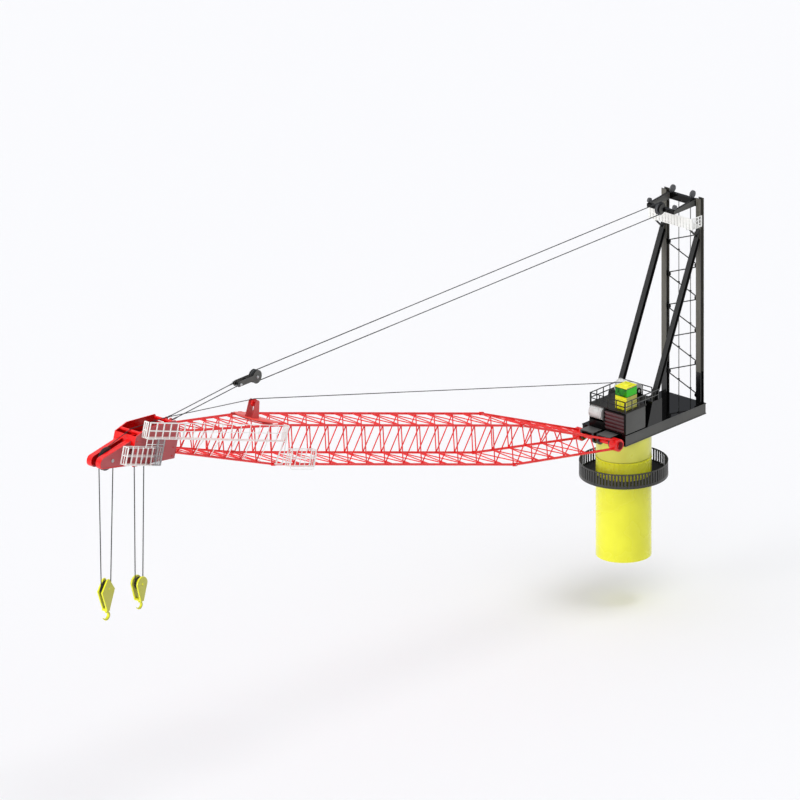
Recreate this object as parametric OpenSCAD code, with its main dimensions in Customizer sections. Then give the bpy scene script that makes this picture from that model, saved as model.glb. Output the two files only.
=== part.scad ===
// Offshore pedestal crane with a lattice boom, as a 1:10 scale model.
// X runs along the boom, Y to the crane's left, Z up from the pedestal's base.

/* [Pedestal] */
// Outside diameter of the pedestal tube
pedestal_d = 560; // [400:10:800]
// Height of the fixed tube, up to the slew bearing
pedestal_h = 1055; // [900:5:1400]
// Plate thickness of the pedestal and the turret
pedestal_wall = 8; // [6:1:20]
// Height of the turret between the slew bearing and the deck
turret_h = 223; // [120:1:400]
// Outside diameter of the ring walkway
walkway_d = 895; // [760:5:1100]
// Underside of the ring walkway above the base
walkway_z = 845; // [500:5:950]
// Height from the walkway's underside to its top rail
walkway_h = 157; // [120:1:220]
// Railing panels round the walkway
walkway_panels = 8; // [6:1:12]
// Upright bars in each railing panel
panel_bars = 10; // [6:1:14]

/* [Revolving deck] */
// Length of the deck
deck_l = 1250; // [1000:10:1600]
// Width of the deck
deck_w = 570; // [480:10:700]
// Depth of the deck's box frame
deck_h = 115; // [80:1:200]
// Front edge of the deck ahead of the slew axis
deck_front = 307; // [285:1:400]

/* [Machinery house] */
// Length of the house
house_l = 307; // [240:1:400]
// Height of the house under its roof deck
house_h = 239; // [200:1:320]
// Far side of the house from the centre line
house_far = 190; // [150:1:260]
// Height of the roof railing
rail_h = 109; // [80:1:140]
// Thickness of railing bars
rail_t = 8; // [5:1:14]

/* [Cab] */
// Length of the cab
cab_l = 160; // [100:1:180]
// Width of the cab
cab_w = 148; // [110:1:180]
// Height of the cab to the top of its roof
cab_h = 238; // [200:1:300]
// Height of the solid lower walls
cab_sill = 136; // [60:1:160]

/* [Mast] */
// Height of the mast legs above the deck
mast_h = 2182; // [1600:1:2800]
// Distance from the deck's sides in to the centres of the mast legs
leg_margin = 60; // [40:1:120]
// Width of a leg's flange
leg_b = 64; // [40:1:90]
// Depth of a leg
leg_d = 50; // [36:1:80]
// Height of the strut heads above the deck
strut_top = 1800; // [1200:10:2100]
// Zigzag bracing rods between the legs
brace_count = 10; // [6:2:16]
// Height of the mast platform above the deck
mast_platform_h = 1910; // [1500:1:2100]

/* [Boom] */
// Angle of the boom above level as it is shown
boom_angle = 16; // [0:1:30]
// Length of the tapered foot section
foot_l = 1610; // [1200:10:2000]
// Length of the straight section
mid_l = 3890; // [2000:10:5000]
// Length of the tapered head section
tip_l = 1450; // [1000:10:2000]
// Width between the chord centres
boom_w = 530; // [400:2:620]
// Depth between the chord centres
boom_d = 400; // [300:2:500]
// Diameter of the chords
chord_d = 25; // [16:1:40]
// Diameter of the lacing bars
lacing_d = 13; // [8:1:20]
// Bays of lacing in the foot section
foot_bays = 5; // [3:1:8]
// Bays of lacing in the straight section
mid_bays = 13; // [8:1:16]
// Bays of lacing in the head section
tip_bays = 6; // [4:1:8]
// Diameter of the foot pins
pin_d = 44; // [30:1:60]

/* [Ropes and hooks] */
// Diameter of the hoist ropes
rope_d = 9; // [5:0.5:14]
// Groove radius of the main nose sheave
nose_sheave_r = 105; // [80:1:120]
// Groove radius of the auxiliary head sheave
aux_sheave_r = 70; // [50:1:90]
// Drop from the nose sheave to the main block's sheave
main_drop = 1380; // [1000:10:1800]
// Drop from the auxiliary sheave to its block's sheave
aux_drop = 1340; // [1000:10:1800]
// Groove radius of the main block's sheave
main_sheave_r = 68; // [50:1:80]
// Groove radius of the auxiliary block's sheave
aux_block_r = 54; // [40:1:70]
// Groove radius of the luffing sheaves on the mast and the bridle
luff_sheave_r = 58; // [40:1:80]

/* [Hidden] */
$fn = 48;

// Colours
yellow = "#f2ee3a";
black = "#1c1c1c";
dark_grey = "#474746";
mid_grey = "#646462";
light_grey = "#c4c4c0";
red = "#e01616";
white = "#e9e7e0";
rope_grey = "#84888c";
glass_green = "#3fb81e";

// Clearances shared by all pieces
seat_gap = 0.3;
pin_gap = 0.1;
run_gap = 6;
overrun = 1;
span = 20000;

// Sides of chords and lacing bars, and the turn that keeps flats of neighbouring bars apart
chord_sides = 8;
lacing_sides = 6;
lacing_twist = 11;

// Levels
bearing_h = 10;
turret_z = pedestal_h + bearing_h + seat_gap;
deck_z = turret_z + turret_h;
deck_top = deck_z + deck_h;
deck_rear = deck_front - deck_l;
roof_t = 10;
roof_z = deck_top + house_h;
roof_top = roof_z + roof_t;

// Helpers
module both_sides() {
  children();
  mirror([0, 1, 0]) children();
}

module bar(a, b, d, sides = 48, twist = 0) {
  v = b - a;
  translate(a)
    rotate([0, acos(v.z / norm(v)), atan2(v.y, v.x)])
      rotate([0, 0, 180 / sides + twist])
        cylinder(d = d, h = norm(v), $fn = sides);
}

// A block given by its two opposite corners
module block(a, b) {
  translate(a) cube(b - a);
}

// A plate cut from an outline in the XZ plane, between two distances along Y
module side_plate(y0, y1) {
  translate([0, y1, 0]) rotate([90, 0, 0]) linear_extrude(y1 - y0) children();
}

// A round bar along Y
module y_rod(x, z, d, y0, y1) {
  translate([x, y1, z]) rotate([90, 0, 0]) cylinder(d = d, h = y1 - y0);
}

// A grooved sheave on the Y axis, with the groove's bottom at radius r
sheave_lip_share = 0.14;
sheave_web_share = 0.5;
module sheave(r, w, bore) {
  lip = r * sheave_lip_share;
  half = w / 2;
  web = half * sheave_web_share;
  hub_r = bore + lip;
  rotate([90, 0, 0])
    rotate_extrude()
      polygon([
        [bore, -half], [hub_r, -half], [hub_r, -web], [r - lip, -web], [r - lip, -half], [r + lip, -half],
        [r, -web], [r, web],
        [r + lip, half], [r - lip, half], [r - lip, web], [hub_r, web], [hub_r, half], [bore, half]
      ]);
}

// A closed rope round two sheaves, the second one hanging at a distance below the first
module rope_loop(r0, r1, drop, d) {
  lean = asin((r0 - r1) / drop);
  for (side = [-1, 1]) {
    n = [side * cos(lean), 0, -sin(lean)];
    rope_run(r0 * n, r1 * n - [0, 0, drop], d);
  }
  rope_arc(r0, -lean, 180 + 2 * lean, d);
  translate([0, 0, -drop]) rope_arc(r1, 180 + lean, 180 - 2 * lean, d);
}

// A straight run of rope, a hair short of the turns at both of its ends
module rope_run(a, b, d) {
  short = seat_gap * (b - a) / norm(b - a);
  bar(a + short, b - short, d);
}

// A rope's turn round a sheave on the Y axis, from an angle above +X
module rope_arc(r, start, turn, d) {
  rotate([90, 0, 0])
    rotate([0, 0, start])
      rotate_extrude(angle = turn) translate([r, 0]) circle(d = d);
}

// A flat railing panel along X: two end posts, evenly spaced bars and rails at the given heights
module rail_panel(l, bars, heights, t, bar_w = 0) {
  w = max(bar_w, t);
  step = (l - w) / (bars - 1);
  for (i = [0 : bars - 1])
    translate([i * step, 0, 0]) cube([w, t, max(heights)]);
  for (h = heights)
    translate([0, 0, h - t]) cube([l, t, t]);
}

// Pedestal
pedestal_r = pedestal_d / 2;
seat_w = 44;
seat_t = 14;
base_t = 12;

module pedestal_column() {
  color(yellow)
    rotate_extrude()
      polygon([
        [0, 0], [pedestal_r, 0], [pedestal_r, pedestal_h], [pedestal_r - seat_w, pedestal_h],
        [pedestal_r - seat_w, pedestal_h - seat_t], [pedestal_r - pedestal_wall, pedestal_h - seat_t],
        [pedestal_r - pedestal_wall, base_t], [0, base_t]
      ]);
}

bearing_step = 5;
module slew_bearing() {
  color(black)
    translate([0, 0, pedestal_h])
      difference() {
        cylinder(r = pedestal_r - bearing_step, h = bearing_h);
        translate([0, 0, -overrun])
          cylinder(r = pedestal_r - seat_w, h = bearing_h + 2 * overrun);
      }
}

module slew_turret() {
  color(yellow)
    translate([0, 0, turret_z])
      rotate_extrude()
        polygon([
          [pedestal_r - seat_w, 0], [pedestal_r, 0], [pedestal_r, turret_h],
          [pedestal_r - pedestal_wall, turret_h], [pedestal_r - pedestal_wall, seat_t],
          [pedestal_r - seat_w, seat_t]
        ]);
}

// Ring walkway
walkway_r = walkway_d / 2;
toe_h = 30;
toe_t = 6;
bearer_h = 16;
bearer_t = 10;
floor_t = 6;
bearer_count = 16;
walkway_floor_r = walkway_r - toe_t - seat_gap;

module ring_walkway_floor() {
  inner = pedestal_r + seat_gap;
  color(black)
    difference() {
      union() {
        translate([0, 0, walkway_z + bearer_h]) cylinder(r = walkway_floor_r, h = floor_t);
        intersection() {
          translate([0, 0, walkway_z]) cylinder(r = walkway_floor_r, h = bearer_h);
          for (i = [0 : bearer_count - 1])
            rotate([0, 0, i * 360 / bearer_count])
              translate([inner - overrun, -bearer_t / 2, walkway_z])
                cube([walkway_r - inner, bearer_t, bearer_h]);
        }
      }
      translate([0, 0, walkway_z - overrun])
        cylinder(r = inner, h = bearer_h + floor_t + 2 * overrun);
    }
}

rim_t = 9;
rim_h = 12;
baluster_w = 20;
baluster_t = 5;
panel_joint_angle = 0.6;
module ring_walkway_railing() {
  panel = 360 / walkway_panels;
  turn = panel - panel_joint_angle;
  color(black)
    for (i = [0 : walkway_panels - 1])
      rotate([0, 0, i * panel + panel_joint_angle / 2]) {
        translate([0, 0, walkway_z])
          rotate_extrude(angle = turn)
            translate([walkway_r - toe_t, 0]) square([toe_t, toe_h]);
        translate([0, 0, walkway_z + walkway_h - rim_h])
          rotate_extrude(angle = turn)
            translate([walkway_r - rim_t, 0]) square([rim_t, rim_h]);
        for (k = [0 : panel_bars - 1])
          rotate([0, 0, (k + 1 / 2) * turn / panel_bars])
            translate([walkway_r - toe_t, -baluster_w / 2, walkway_z + toe_h - overrun])
              cube([baluster_t, baluster_w, walkway_h - toe_h - rim_h + 2 * overrun]);
      }
}

// Revolving deck
plate_t = 9;
deck_inset = 4;
module revolving_deck() {
  color(mid_grey) {
    block([deck_rear, -deck_w / 2, deck_z], [deck_front, deck_w / 2, deck_z + plate_t]);
    block([deck_rear, -deck_w / 2, deck_top - plate_t], [deck_front, deck_w / 2, deck_top]);
    block(
      [deck_rear + deck_inset, deck_inset - deck_w / 2, deck_z + plate_t - overrun],
      [deck_front - deck_inset, deck_w / 2 - deck_inset, deck_top - plate_t + overrun]);
  }
}

// Boom foot
foot_ahead = 90;
pin_x = deck_front + foot_ahead;
pin_rise = 42;
pin_z = deck_z + pin_rise;
hub_r = 64;
hub_w = 86;
hub_inset = 3;
hub_y1 = deck_w / 2 - hub_inset;
hub_y0 = hub_y1 - hub_w;
bracket_gap = 2;
bracket_y0 = 20;
bracket_y1 = hub_y0 - bracket_gap;
bracket_plate = 22;
bracket_nose = 46;
cover_t = 10;

module boom_foot_brackets() {
  color(black)
    both_sides() {
      for (y = [bracket_y0, bracket_y1 - bracket_plate])
        difference() {
          side_plate(y, y + bracket_plate)
            union() {
              translate([deck_front, deck_z]) square([foot_ahead, deck_h - cover_t + overrun]);
              translate([pin_x, pin_z]) circle(r = bracket_nose);
              translate([pin_x - overrun, pin_z])
                square([bracket_nose + overrun, deck_top - pin_z - cover_t + overrun]);
            }
          y_rod(pin_x, pin_z, pin_d + 2 * pin_gap, y - overrun, y + bracket_plate + overrun);
        }
      block(
        [deck_front, bracket_y0, deck_top - cover_t],
        [pin_x + bracket_nose, bracket_y1, deck_top]);
    }
}

pin_head_d = 60;
pin_head_t = 6;
module boom_foot_pins() {
  color(dark_grey)
    both_sides() {
      y_rod(pin_x, pin_z, pin_d, bracket_y0, hub_y1 + bracket_gap);
      y_rod(pin_x, pin_z, pin_head_d, hub_y1 + bracket_gap, hub_y1 + bracket_gap + pin_head_t);
    }
}

// Machinery house
house_near = deck_w / 2;
house_front = deck_front;
house_rear = house_front - house_l;
winch_bay_l = 122;
winch_bay_x = house_front - winch_bay_l;
winch_bay_y = 5;
panel_skin = 7;
skin_corner = 26;

module machinery_house() {
  color(mid_grey)
    difference() {
      translate([0, 0, deck_top])
        linear_extrude(house_h)
          polygon([
            [house_rear, -house_far], [winch_bay_x, -house_far], [winch_bay_x, winch_bay_y],
            [house_front, winch_bay_y], [house_front, house_near], [house_rear, house_near]
          ]);
      // Shadow line under the side plate's rounded rear corner
      side_plate(house_near - panel_skin, house_near + overrun)
        translate([house_rear, deck_top])
          difference() {
            translate([-overrun, -overrun]) square(skin_corner + overrun);
            translate([skin_corner, skin_corner]) circle(r = skin_corner);
          }
    }
}

// Winch at the front of the house, in a bay on the far side
winch_back = 37;
winch_x = deck_front - winch_back;
winch_rise = 162;
winch_z = deck_top + winch_rise;
winch_r = 64;
winch_flange_r = 71;
winch_flange_t = 7;
shaft_d = 30;
frame_t = 10;
winch_y0 = -house_far;
winch_y1 = winch_bay_y - seat_gap;
winch_sill = 78;

module front_winch_frame() {
  color(black)
    difference() {
      union() {
        block([winch_bay_x + seat_gap, winch_y0, deck_top], [deck_front, winch_y1, deck_top + winch_sill]);
        for (y = [winch_y0, winch_y1 - frame_t])
          side_plate(y, y + frame_t)
            polygon([
              [winch_bay_x + seat_gap, deck_top], [deck_front, deck_top],
              [winch_x + shaft_d, roof_z - seat_gap], [winch_bay_x + seat_gap, roof_z - seat_gap]
            ]);
      }
      y_rod(winch_x, winch_z, shaft_d + 2 * pin_gap, winch_y0 - overrun, winch_y1 + overrun);
    }
}

module drum(x, z, r, flange_r, flange_t, y0, y1, shaft_y0, shaft_y1) {
  y_rod(x, z, 2 * r, y0, y1);
  y_rod(x, z, 2 * flange_r, y0, y0 + flange_t);
  y_rod(x, z, 2 * flange_r, y1 - flange_t, y1);
  y_rod(x, z, shaft_d, shaft_y0, shaft_y1);
}

module front_winch_drum() {
  color(light_grey)
    drum(
      winch_x, winch_z, winch_r, winch_flange_r, winch_flange_t,
      winch_y0 + frame_t + run_gap, winch_y1 - frame_t - run_gap, winch_y0, winch_y1);
}

// Strut brackets behind the house
bracket_w = 105;
bracket_back = 258;
bracket_foot_back = 35;
bracket_head_back = 110;
bracket_rear = house_rear - bracket_back;
bracket_foot = house_rear - bracket_foot_back;
bracket_head = house_rear - bracket_head_back;
module strut_brackets() {
  color(dark_grey)
    both_sides()
      side_plate(deck_w / 2 - bracket_w, deck_w / 2)
        polygon([
          [bracket_rear, deck_top], [bracket_foot, deck_top],
          [bracket_head, roof_top], [bracket_rear, roof_top]
        ]);
}

// Roof deck and railing
roof_back = 215;
roof_notch_back = 20;
roof_rear = house_rear - roof_back;
roof_notch_x = house_rear - roof_notch_back;
roof_notch_y = deck_w / 2 - bracket_w - seat_gap;
module roof_deck() {
  color(dark_grey)
    translate([0, 0, roof_z])
      linear_extrude(roof_t)
        polygon([
          [house_front, house_near], [house_front, -house_far], [roof_notch_x, -house_far],
          [roof_notch_x, -roof_notch_y], [roof_rear, -roof_notch_y],
          [roof_rear, roof_notch_y], [roof_notch_x, roof_notch_y], [roof_notch_x, house_near]
        ]);
}

rail_share = 0.52;
rail_heights = [rail_h * rail_share, rail_h];
rail_joint = 2;
rail_inset = 3;
side_bars = 6;
front_bars = 5;
rear_bars = 4;
module roof_railing() {
  front_x = house_front - rail_inset - rail_t;
  near_y = house_near - rail_inset - rail_t;
  far_y = rail_inset - house_far;
  rear_x = roof_rear + rail_inset;
  side_l = front_x + rail_t - rear_x;
  cross_y = far_y + rail_t + rail_joint;
  rear_y = leg_y - strut_w / 2 - rail_joint;
  color(black)
    translate([0, 0, roof_top]) {
      for (y = [near_y, far_y])
        translate([rear_x, y, 0]) rail_panel(side_l, side_bars, rail_heights, rail_t);
      translate([front_x + rail_t, cross_y, 0])
        rotate([0, 0, 90]) rail_panel(near_y - rail_joint - cross_y, front_bars, rail_heights, rail_t);
      translate([rear_x + rail_t, cross_y, 0])
        rotate([0, 0, 90]) rail_panel(rear_y - cross_y, rear_bars, rail_heights, rail_t);
    }
}

// Cab
cab_front_gap = 54;
cab_near_gap = 32;
cab_x1 = house_front - cab_front_gap;
cab_x0 = cab_x1 - cab_l;
cab_y1 = house_near - cab_near_gap;
cab_y0 = cab_y1 - cab_w;
cab_wall = 6;
cab_floor = 8;
cab_roof_t = 12;
cab_eave = 1;
pane_inset = 1;
cab_top = roof_top + cab_h - cab_roof_t;
sill_z = roof_top + cab_sill;
pane_t = 5;

module cab_body() {
  color(yellow)
    difference() {
      block([cab_x0, cab_y0, roof_top], [cab_x1, cab_y1, sill_z]);
      block(
        [cab_x0 + cab_wall, cab_y0 + cab_wall, roof_top + cab_floor],
        [cab_x1 - cab_wall, cab_y1 - cab_wall, sill_z + overrun]);
    }
}

// Four panes standing on the walls, the side panes between the front and the rear one
module cab_glazing() {
  x0 = cab_x0 + pane_inset;
  x1 = cab_x1 - pane_inset;
  y0 = cab_y0 + pane_inset;
  y1 = cab_y1 - pane_inset;
  in = pane_t + seat_gap;
  z0 = sill_z + seat_gap;
  z1 = cab_top - seat_gap;
  color(glass_green) {
    for (x = [x0, x1 - pane_t])
      block([x, y0, z0], [x + pane_t, y1, z1]);
    for (y = [y0, y1 - pane_t])
      block([x0 + in, y, z0], [x1 - in, y + pane_t, z1]);
  }
}

module cab_roof() {
  reach = cab_eave - pane_inset;
  color(yellow)
    block(
      [cab_x0 - reach, cab_y0 - reach, cab_top],
      [cab_x1 + reach, cab_y1 + reach, cab_top + cab_roof_t]);
}

// Hoist winch on the roof behind the cab
hoist_back = 100;
hoist_x = house_rear - hoist_back;
hoist_r = 60;
hoist_flange_r = 74;
hoist_flange_t = 7;
hoist_z = roof_top + hoist_flange_r + run_gap;
hoist_y0 = -150;
hoist_y1 = 110;
stand_half = 45;

module roof_winch_stand() {
  color(black)
    for (y = [hoist_y0 - frame_t, hoist_y1])
      difference() {
        side_plate(y, y + frame_t)
          union() {
            translate([hoist_x, hoist_z]) circle(d = 2 * shaft_d);
            polygon([
              [hoist_x - stand_half, roof_top], [hoist_x + stand_half, roof_top],
              [hoist_x + shaft_d, hoist_z], [hoist_x - shaft_d, hoist_z]
            ]);
          }
        y_rod(hoist_x, hoist_z, shaft_d + 2 * pin_gap, y - overrun, y + frame_t + overrun);
      }
}

module roof_winch_drum() {
  color(light_grey)
    drum(
      hoist_x, hoist_z, hoist_r, hoist_flange_r, hoist_flange_t,
      hoist_y0 + run_gap, hoist_y1 - run_gap, hoist_y0 - frame_t, hoist_y1 + frame_t);
}

// Mast
leg_edge = 28;
leg_x = deck_rear + leg_edge;
leg_y = deck_w / 2 - leg_margin;
leg_flange = 7;
leg_web = 6;
leg_front = leg_x + leg_d / 2;
mast_top = deck_top + mast_h;

module mast_legs() {
  color(dark_grey)
    both_sides()
      translate([leg_x, leg_y, deck_top])
        linear_extrude(mast_h) {
          for (x = [-leg_d / 2, leg_d / 2 - leg_flange])
            translate([x, -leg_b / 2]) square([leg_flange, leg_b]);
          translate([-leg_d / 2 + overrun, -leg_web / 2]) square([leg_d - 2 * overrun, leg_web]);
        }
}

brace_d = 12;
brace_rise = 68;
brace_h = 1728;
brace_z0 = deck_top + brace_rise;
brace_z1 = brace_z0 + brace_h;
module mast_bracing() {
  y = leg_y - leg_web / 2 - seat_gap;
  step = (brace_z1 - brace_z0) / brace_count;
  color(dark_grey)
    intersection() {
      for (i = [0 : brace_count - 1]) {
        side = i % 2 == 0 ? 1 : -1;
        bar(
          [leg_x, side * leg_y, brace_z0 + i * step],
          [leg_x, -side * leg_y, brace_z0 + (i + 1) * step], brace_d, lacing_sides);
      }
      block([leg_x - leg_d, -y, deck_top], [leg_x + leg_d, y, mast_top]);
    }
  // Knee braces from the struts' front flanges up to the platform's front edge
  knee_x = platform_x1 - knee_w;
  knee_z = platform_z - floor_t - seat_gap;
  color(black)
    both_sides()
      side_plate(leg_y - knee_w / 2, leg_y + knee_w / 2)
        intersection() {
          polygon([
            [knee_x, knee_z], [knee_x - 2 * knee_w, knee_z],
            [knee_x - 2 * knee_w - knee_h, knee_z - knee_h], [knee_x - knee_h, knee_z - knee_h]
          ]);
          translate([strut_foot_x, roof_top])
            rotate(strut_lean)
              translate([-span / 2, -span]) square([span, span - strut_d / 2 - seat_gap]);
        }
}

strut_d = 52;
strut_w = 50;
strut_flange = 8;
strut_web = 8;
strut_back = 200;
strut_foot_x = house_rear - strut_back;
strut_lean = atan2(strut_top + deck_top - roof_top, leg_front - strut_foot_x);

// A strip of a strut, between two distances from its centre line, cut off at the bracket and the leg
module strut_strip(d0, d1) {
  intersection() {
    translate([strut_foot_x, roof_top])
      rotate(strut_lean)
        translate([-span / 2, d0]) square([span, d1 - d0]);
    translate([leg_front + seat_gap, roof_top]) square([span, span]);
  }
}

module mast_struts() {
  color(dark_grey)
    both_sides() {
      side_plate(leg_y - strut_web / 2, leg_y + strut_web / 2)
        strut_strip(-strut_d / 2, strut_d / 2);
      for (d = [-strut_d / 2, strut_d / 2 - strut_flange])
        side_plate(leg_y - strut_w / 2, leg_y + strut_w / 2) strut_strip(d, d + strut_flange);
    }
}

// Mast platform
platform_z = deck_top + mast_platform_h;
platform_l = 160;
platform_gap = 10;
platform_x0 = leg_front + platform_gap;
platform_x1 = platform_x0 + platform_l;
platform_side = 27;
platform_half = leg_y + leg_b / 2 + platform_side;
platform_rail_h = 112;
knee_w = 12;
knee_h = 190;
module mast_platform() {
  color(white) {
    block([platform_x0, -platform_half, platform_z - floor_t], [platform_x1, platform_half, platform_z]);
    both_sides()
      block(
        [leg_front + seat_gap, leg_y - strut_w / 2, platform_z - floor_t - bearer_h],
        [platform_x1, leg_y - strut_w / 2 + bearer_t, platform_z - floor_t + overrun]);
  }
}

cage_t = 6;
cage_shares = [0.34, 0.67, 1];
slat_w = 18;
platform_bars = 15;
side_slats = 4;
module mast_platform_railing() {
  heights = platform_rail_h * cage_shares;
  color(white)
    translate([0, 0, platform_z]) {
      translate([platform_x1, -platform_half, 0])
        rotate([0, 0, 90])
          rail_panel(2 * platform_half, platform_bars, heights, cage_t, slat_w);
      for (y = [-platform_half, platform_half - cage_t])
        translate([platform_x0, y, 0])
          rail_panel(platform_l - cage_t - rail_joint, side_slats, heights, cage_t, slat_w);
    }
}

// Mast head
head_side = 61;
head_half = leg_y - head_side;
head_beam_t = 28;
head_top_drop = 22;
head_depth = 70;
head_z1 = mast_top - head_top_drop;
head_z0 = head_z1 - head_depth;
head_nose_h = 36;
head_reach = 320;
luff_ahead = 5;
luff_drop = 65;
head_front = leg_front + head_reach;
luff_x = head_front + luff_ahead;
luff_z = mast_top - luff_drop;
luff_pin_d = 24;
luff_sheave_w = 30;
cheek_t = 9;
cheek_r = 50;
cross_w = 42;
head_top_r = 40;
head_top_side = 34;
head_top_y = head_half - head_top_side;
head_roller_r = 26;
head_roller_w = 24;
head_slope = atan2(head_z1 - head_z0 - head_nose_h, head_front - leg_x - cross_w);

module mast_head_frame() {
  cheek_y = luff_sheave_w / 2 + run_gap;
  inner = leg_y - leg_b / 2 - seat_gap;
  color(black) {
    block([leg_x - cross_w / 2, -inner, head_z0], [leg_x + cross_w / 2, inner, head_z1]);
    both_sides() {
      side_plate(head_half - head_beam_t / 2, head_half + head_beam_t / 2)
        polygon([
          [leg_x, head_z0], [head_front, head_z0], [head_front, head_z0 + head_nose_h],
          [leg_x + cross_w, head_z1], [leg_x, head_z1]
        ]);
      side_plate(cheek_y, cheek_y + cheek_t)
        difference() {
          union() {
            translate([luff_x, luff_z]) circle(r = cheek_r);
            translate([head_front - cross_w, head_z0]) square([cross_w, head_nose_h]);
          }
          translate([luff_x, luff_z]) circle(d = luff_pin_d);
        }
    }
    both_sides()
      difference() {
        block(
          [head_front - cross_w, cheek_y, head_z0],
          [head_front, head_half, head_z0 + head_nose_h]);
        y_rod(luff_x, luff_z, luff_pin_d, cheek_y - overrun, cheek_y + cheek_t + seat_gap);
      }
  }
}

module mast_head_sheaves() {
  y = luff_sheave_w / 2 + run_gap + cheek_t;
  roller_seat = (head_roller_r + seat_gap) / cos(head_slope);
  roller_z = head_z0 + head_nose_h + head_roller_r * tan(head_slope) + roller_seat;
  color(light_grey) {
    y_rod(luff_x, luff_z, luff_pin_d - 2 * pin_gap, -y, y);
    translate([luff_x, 0, luff_z]) sheave(luff_sheave_r, luff_sheave_w, luff_pin_d / 2 - pin_gap);
    both_sides() {
      translate([leg_x, head_top_y, head_z1 + head_top_r + seat_gap])
        rotate([90, 0, 0]) cylinder(r = head_top_r, h = bearer_h, center = true);
      translate([head_front - head_roller_r, head_half, roller_z])
        rotate([90, 0, 0]) cylinder(r = head_roller_r, h = head_roller_w, center = true);
    }
  }
}

mast_rope_y = 76;
mast_rope_side = 16;
mast_rope_d = 8;
module mast_ropes() {
  x = leg_x - brace_d / 2 - mast_rope_d / 2 - rail_joint;
  color(rope_grey)
    for (y = [mast_rope_side - mast_rope_y, mast_rope_side + mast_rope_y])
      bar([x, y, deck_top], [x, y, head_z0 - seat_gap], mast_rope_d);
}

// Boom: s runs along it from the foot pins, n is up from its centre line
boom_l = foot_l + mid_l + tip_l;
foot_half_w = (hub_y0 + hub_y1) / 2;
foot_half_d = 40;
tip_half_w = 140;
tip_half_d = 110;
chord_flat = chord_d / 2 * cos(180 / chord_sides);
lacing_inset = 24;

function half_w(s) = lookup(s, [
  [0, foot_half_w], [foot_l, boom_w / 2], [foot_l + mid_l, boom_w / 2], [boom_l, tip_half_w]
]);
function half_d(s) = lookup(s, [
  [0, foot_half_d], [foot_l, boom_d / 2], [foot_l + mid_l, boom_d / 2], [boom_l, tip_half_d]
]);
function chord_at(s, side, level) = [s, side * half_w(s), level * half_d(s)];
function boom_point(s, n) = [
  pin_x + s * cos(boom_angle) - n * sin(boom_angle),
  pin_z + s * sin(boom_angle) + n * cos(boom_angle)
];

module on_boom() {
  translate([pin_x, 0, pin_z]) rotate([0, -boom_angle, 0]) children();
}

// A chord between two stations, cut square across the boom
module chord(s0, s1, side, level) {
  a = chord_at(s0, side, level);
  b = chord_at(s1, side, level);
  reach = chord_d * (b - a) / norm(b - a);
  intersection() {
    bar(a - reach, b + reach, chord_d, chord_sides);
    block([s0, -span, -span], [s1, span, span]);
  }
}

// Both flat sides of a section: two chords and the zigzag between them
module section_sides(s0, s1, lace0, lace1, bays) {
  step = (lace1 - lace0) / (2 * bays);
  for (side = [-1, 1]) {
    for (level = [-1, 1]) chord(s0, s1, side, level);
    for (k = [0 : 2 * bays - 1]) {
      level = k % 2 == 0 ? -1 : 1;
      bar(
        chord_at(lace0 + k * step, side, level),
        chord_at(lace0 + (k + 1) * step, side, -level), lacing_d, lacing_sides);
    }
  }
}

// The top and bottom zigzags of a section, ending on the chords' inner faces
module section_lacing(lace0, lace1, bays) {
  step = (lace1 - lace0) / (2 * bays);
  in = chord_flat + seat_gap;
  s0 = lace0 - lacing_d;
  s1 = lace1 + lacing_d;
  intersection() {
    for (level = [-1, 1])
      for (k = [0 : 2 * bays - 1]) {
        side = k % 2 == 0 ? -1 : 1;
        bar(
          chord_at(lace0 + k * step, side, level),
          chord_at(lace0 + (k + 1) * step, -side, level),
          lacing_d, lacing_sides, side * lacing_twist);
      }
    translate([0, 0, -boom_d])
      linear_extrude(2 * boom_d)
        polygon([
          [s0, in - half_w(s0)], [s1, in - half_w(s1)], [s1, half_w(s1) - in], [s0, half_w(s0) - in]
        ]);
  }
}

foot_lace = 330;
mid_s = foot_l + seat_gap;
tip_s = foot_l + mid_l + seat_gap;

module boom_foot_sides() {
  color(red)
    on_boom()
      difference() {
        union() {
          section_sides(0, foot_l, foot_lace, foot_l - lacing_inset, foot_bays);
          both_sides() y_rod(0, 0, 2 * hub_r, hub_y0, hub_y1);
        }
        both_sides() y_rod(0, 0, pin_d + 2 * pin_gap, hub_y0 - overrun, hub_y1 + overrun);
      }
}

module boom_foot_lacing() {
  color(red) on_boom() section_lacing(foot_lace, foot_l - lacing_inset, foot_bays);
}

module boom_mid_sides() {
  color(red)
    on_boom() section_sides(mid_s, foot_l + mid_l, mid_s + lacing_inset, tip_s - lacing_inset, mid_bays);
}

module boom_mid_lacing() {
  color(red) on_boom() section_lacing(mid_s + lacing_inset, tip_s - lacing_inset, mid_bays);
}

module boom_tip_sides() {
  color(red)
    on_boom() section_sides(tip_s, boom_l, tip_s + lacing_inset, boom_l - lacing_inset, tip_bays);
}

module boom_tip_lacing() {
  color(red) on_boom() section_lacing(tip_s + lacing_inset, boom_l - lacing_inset, tip_bays);
}

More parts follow.
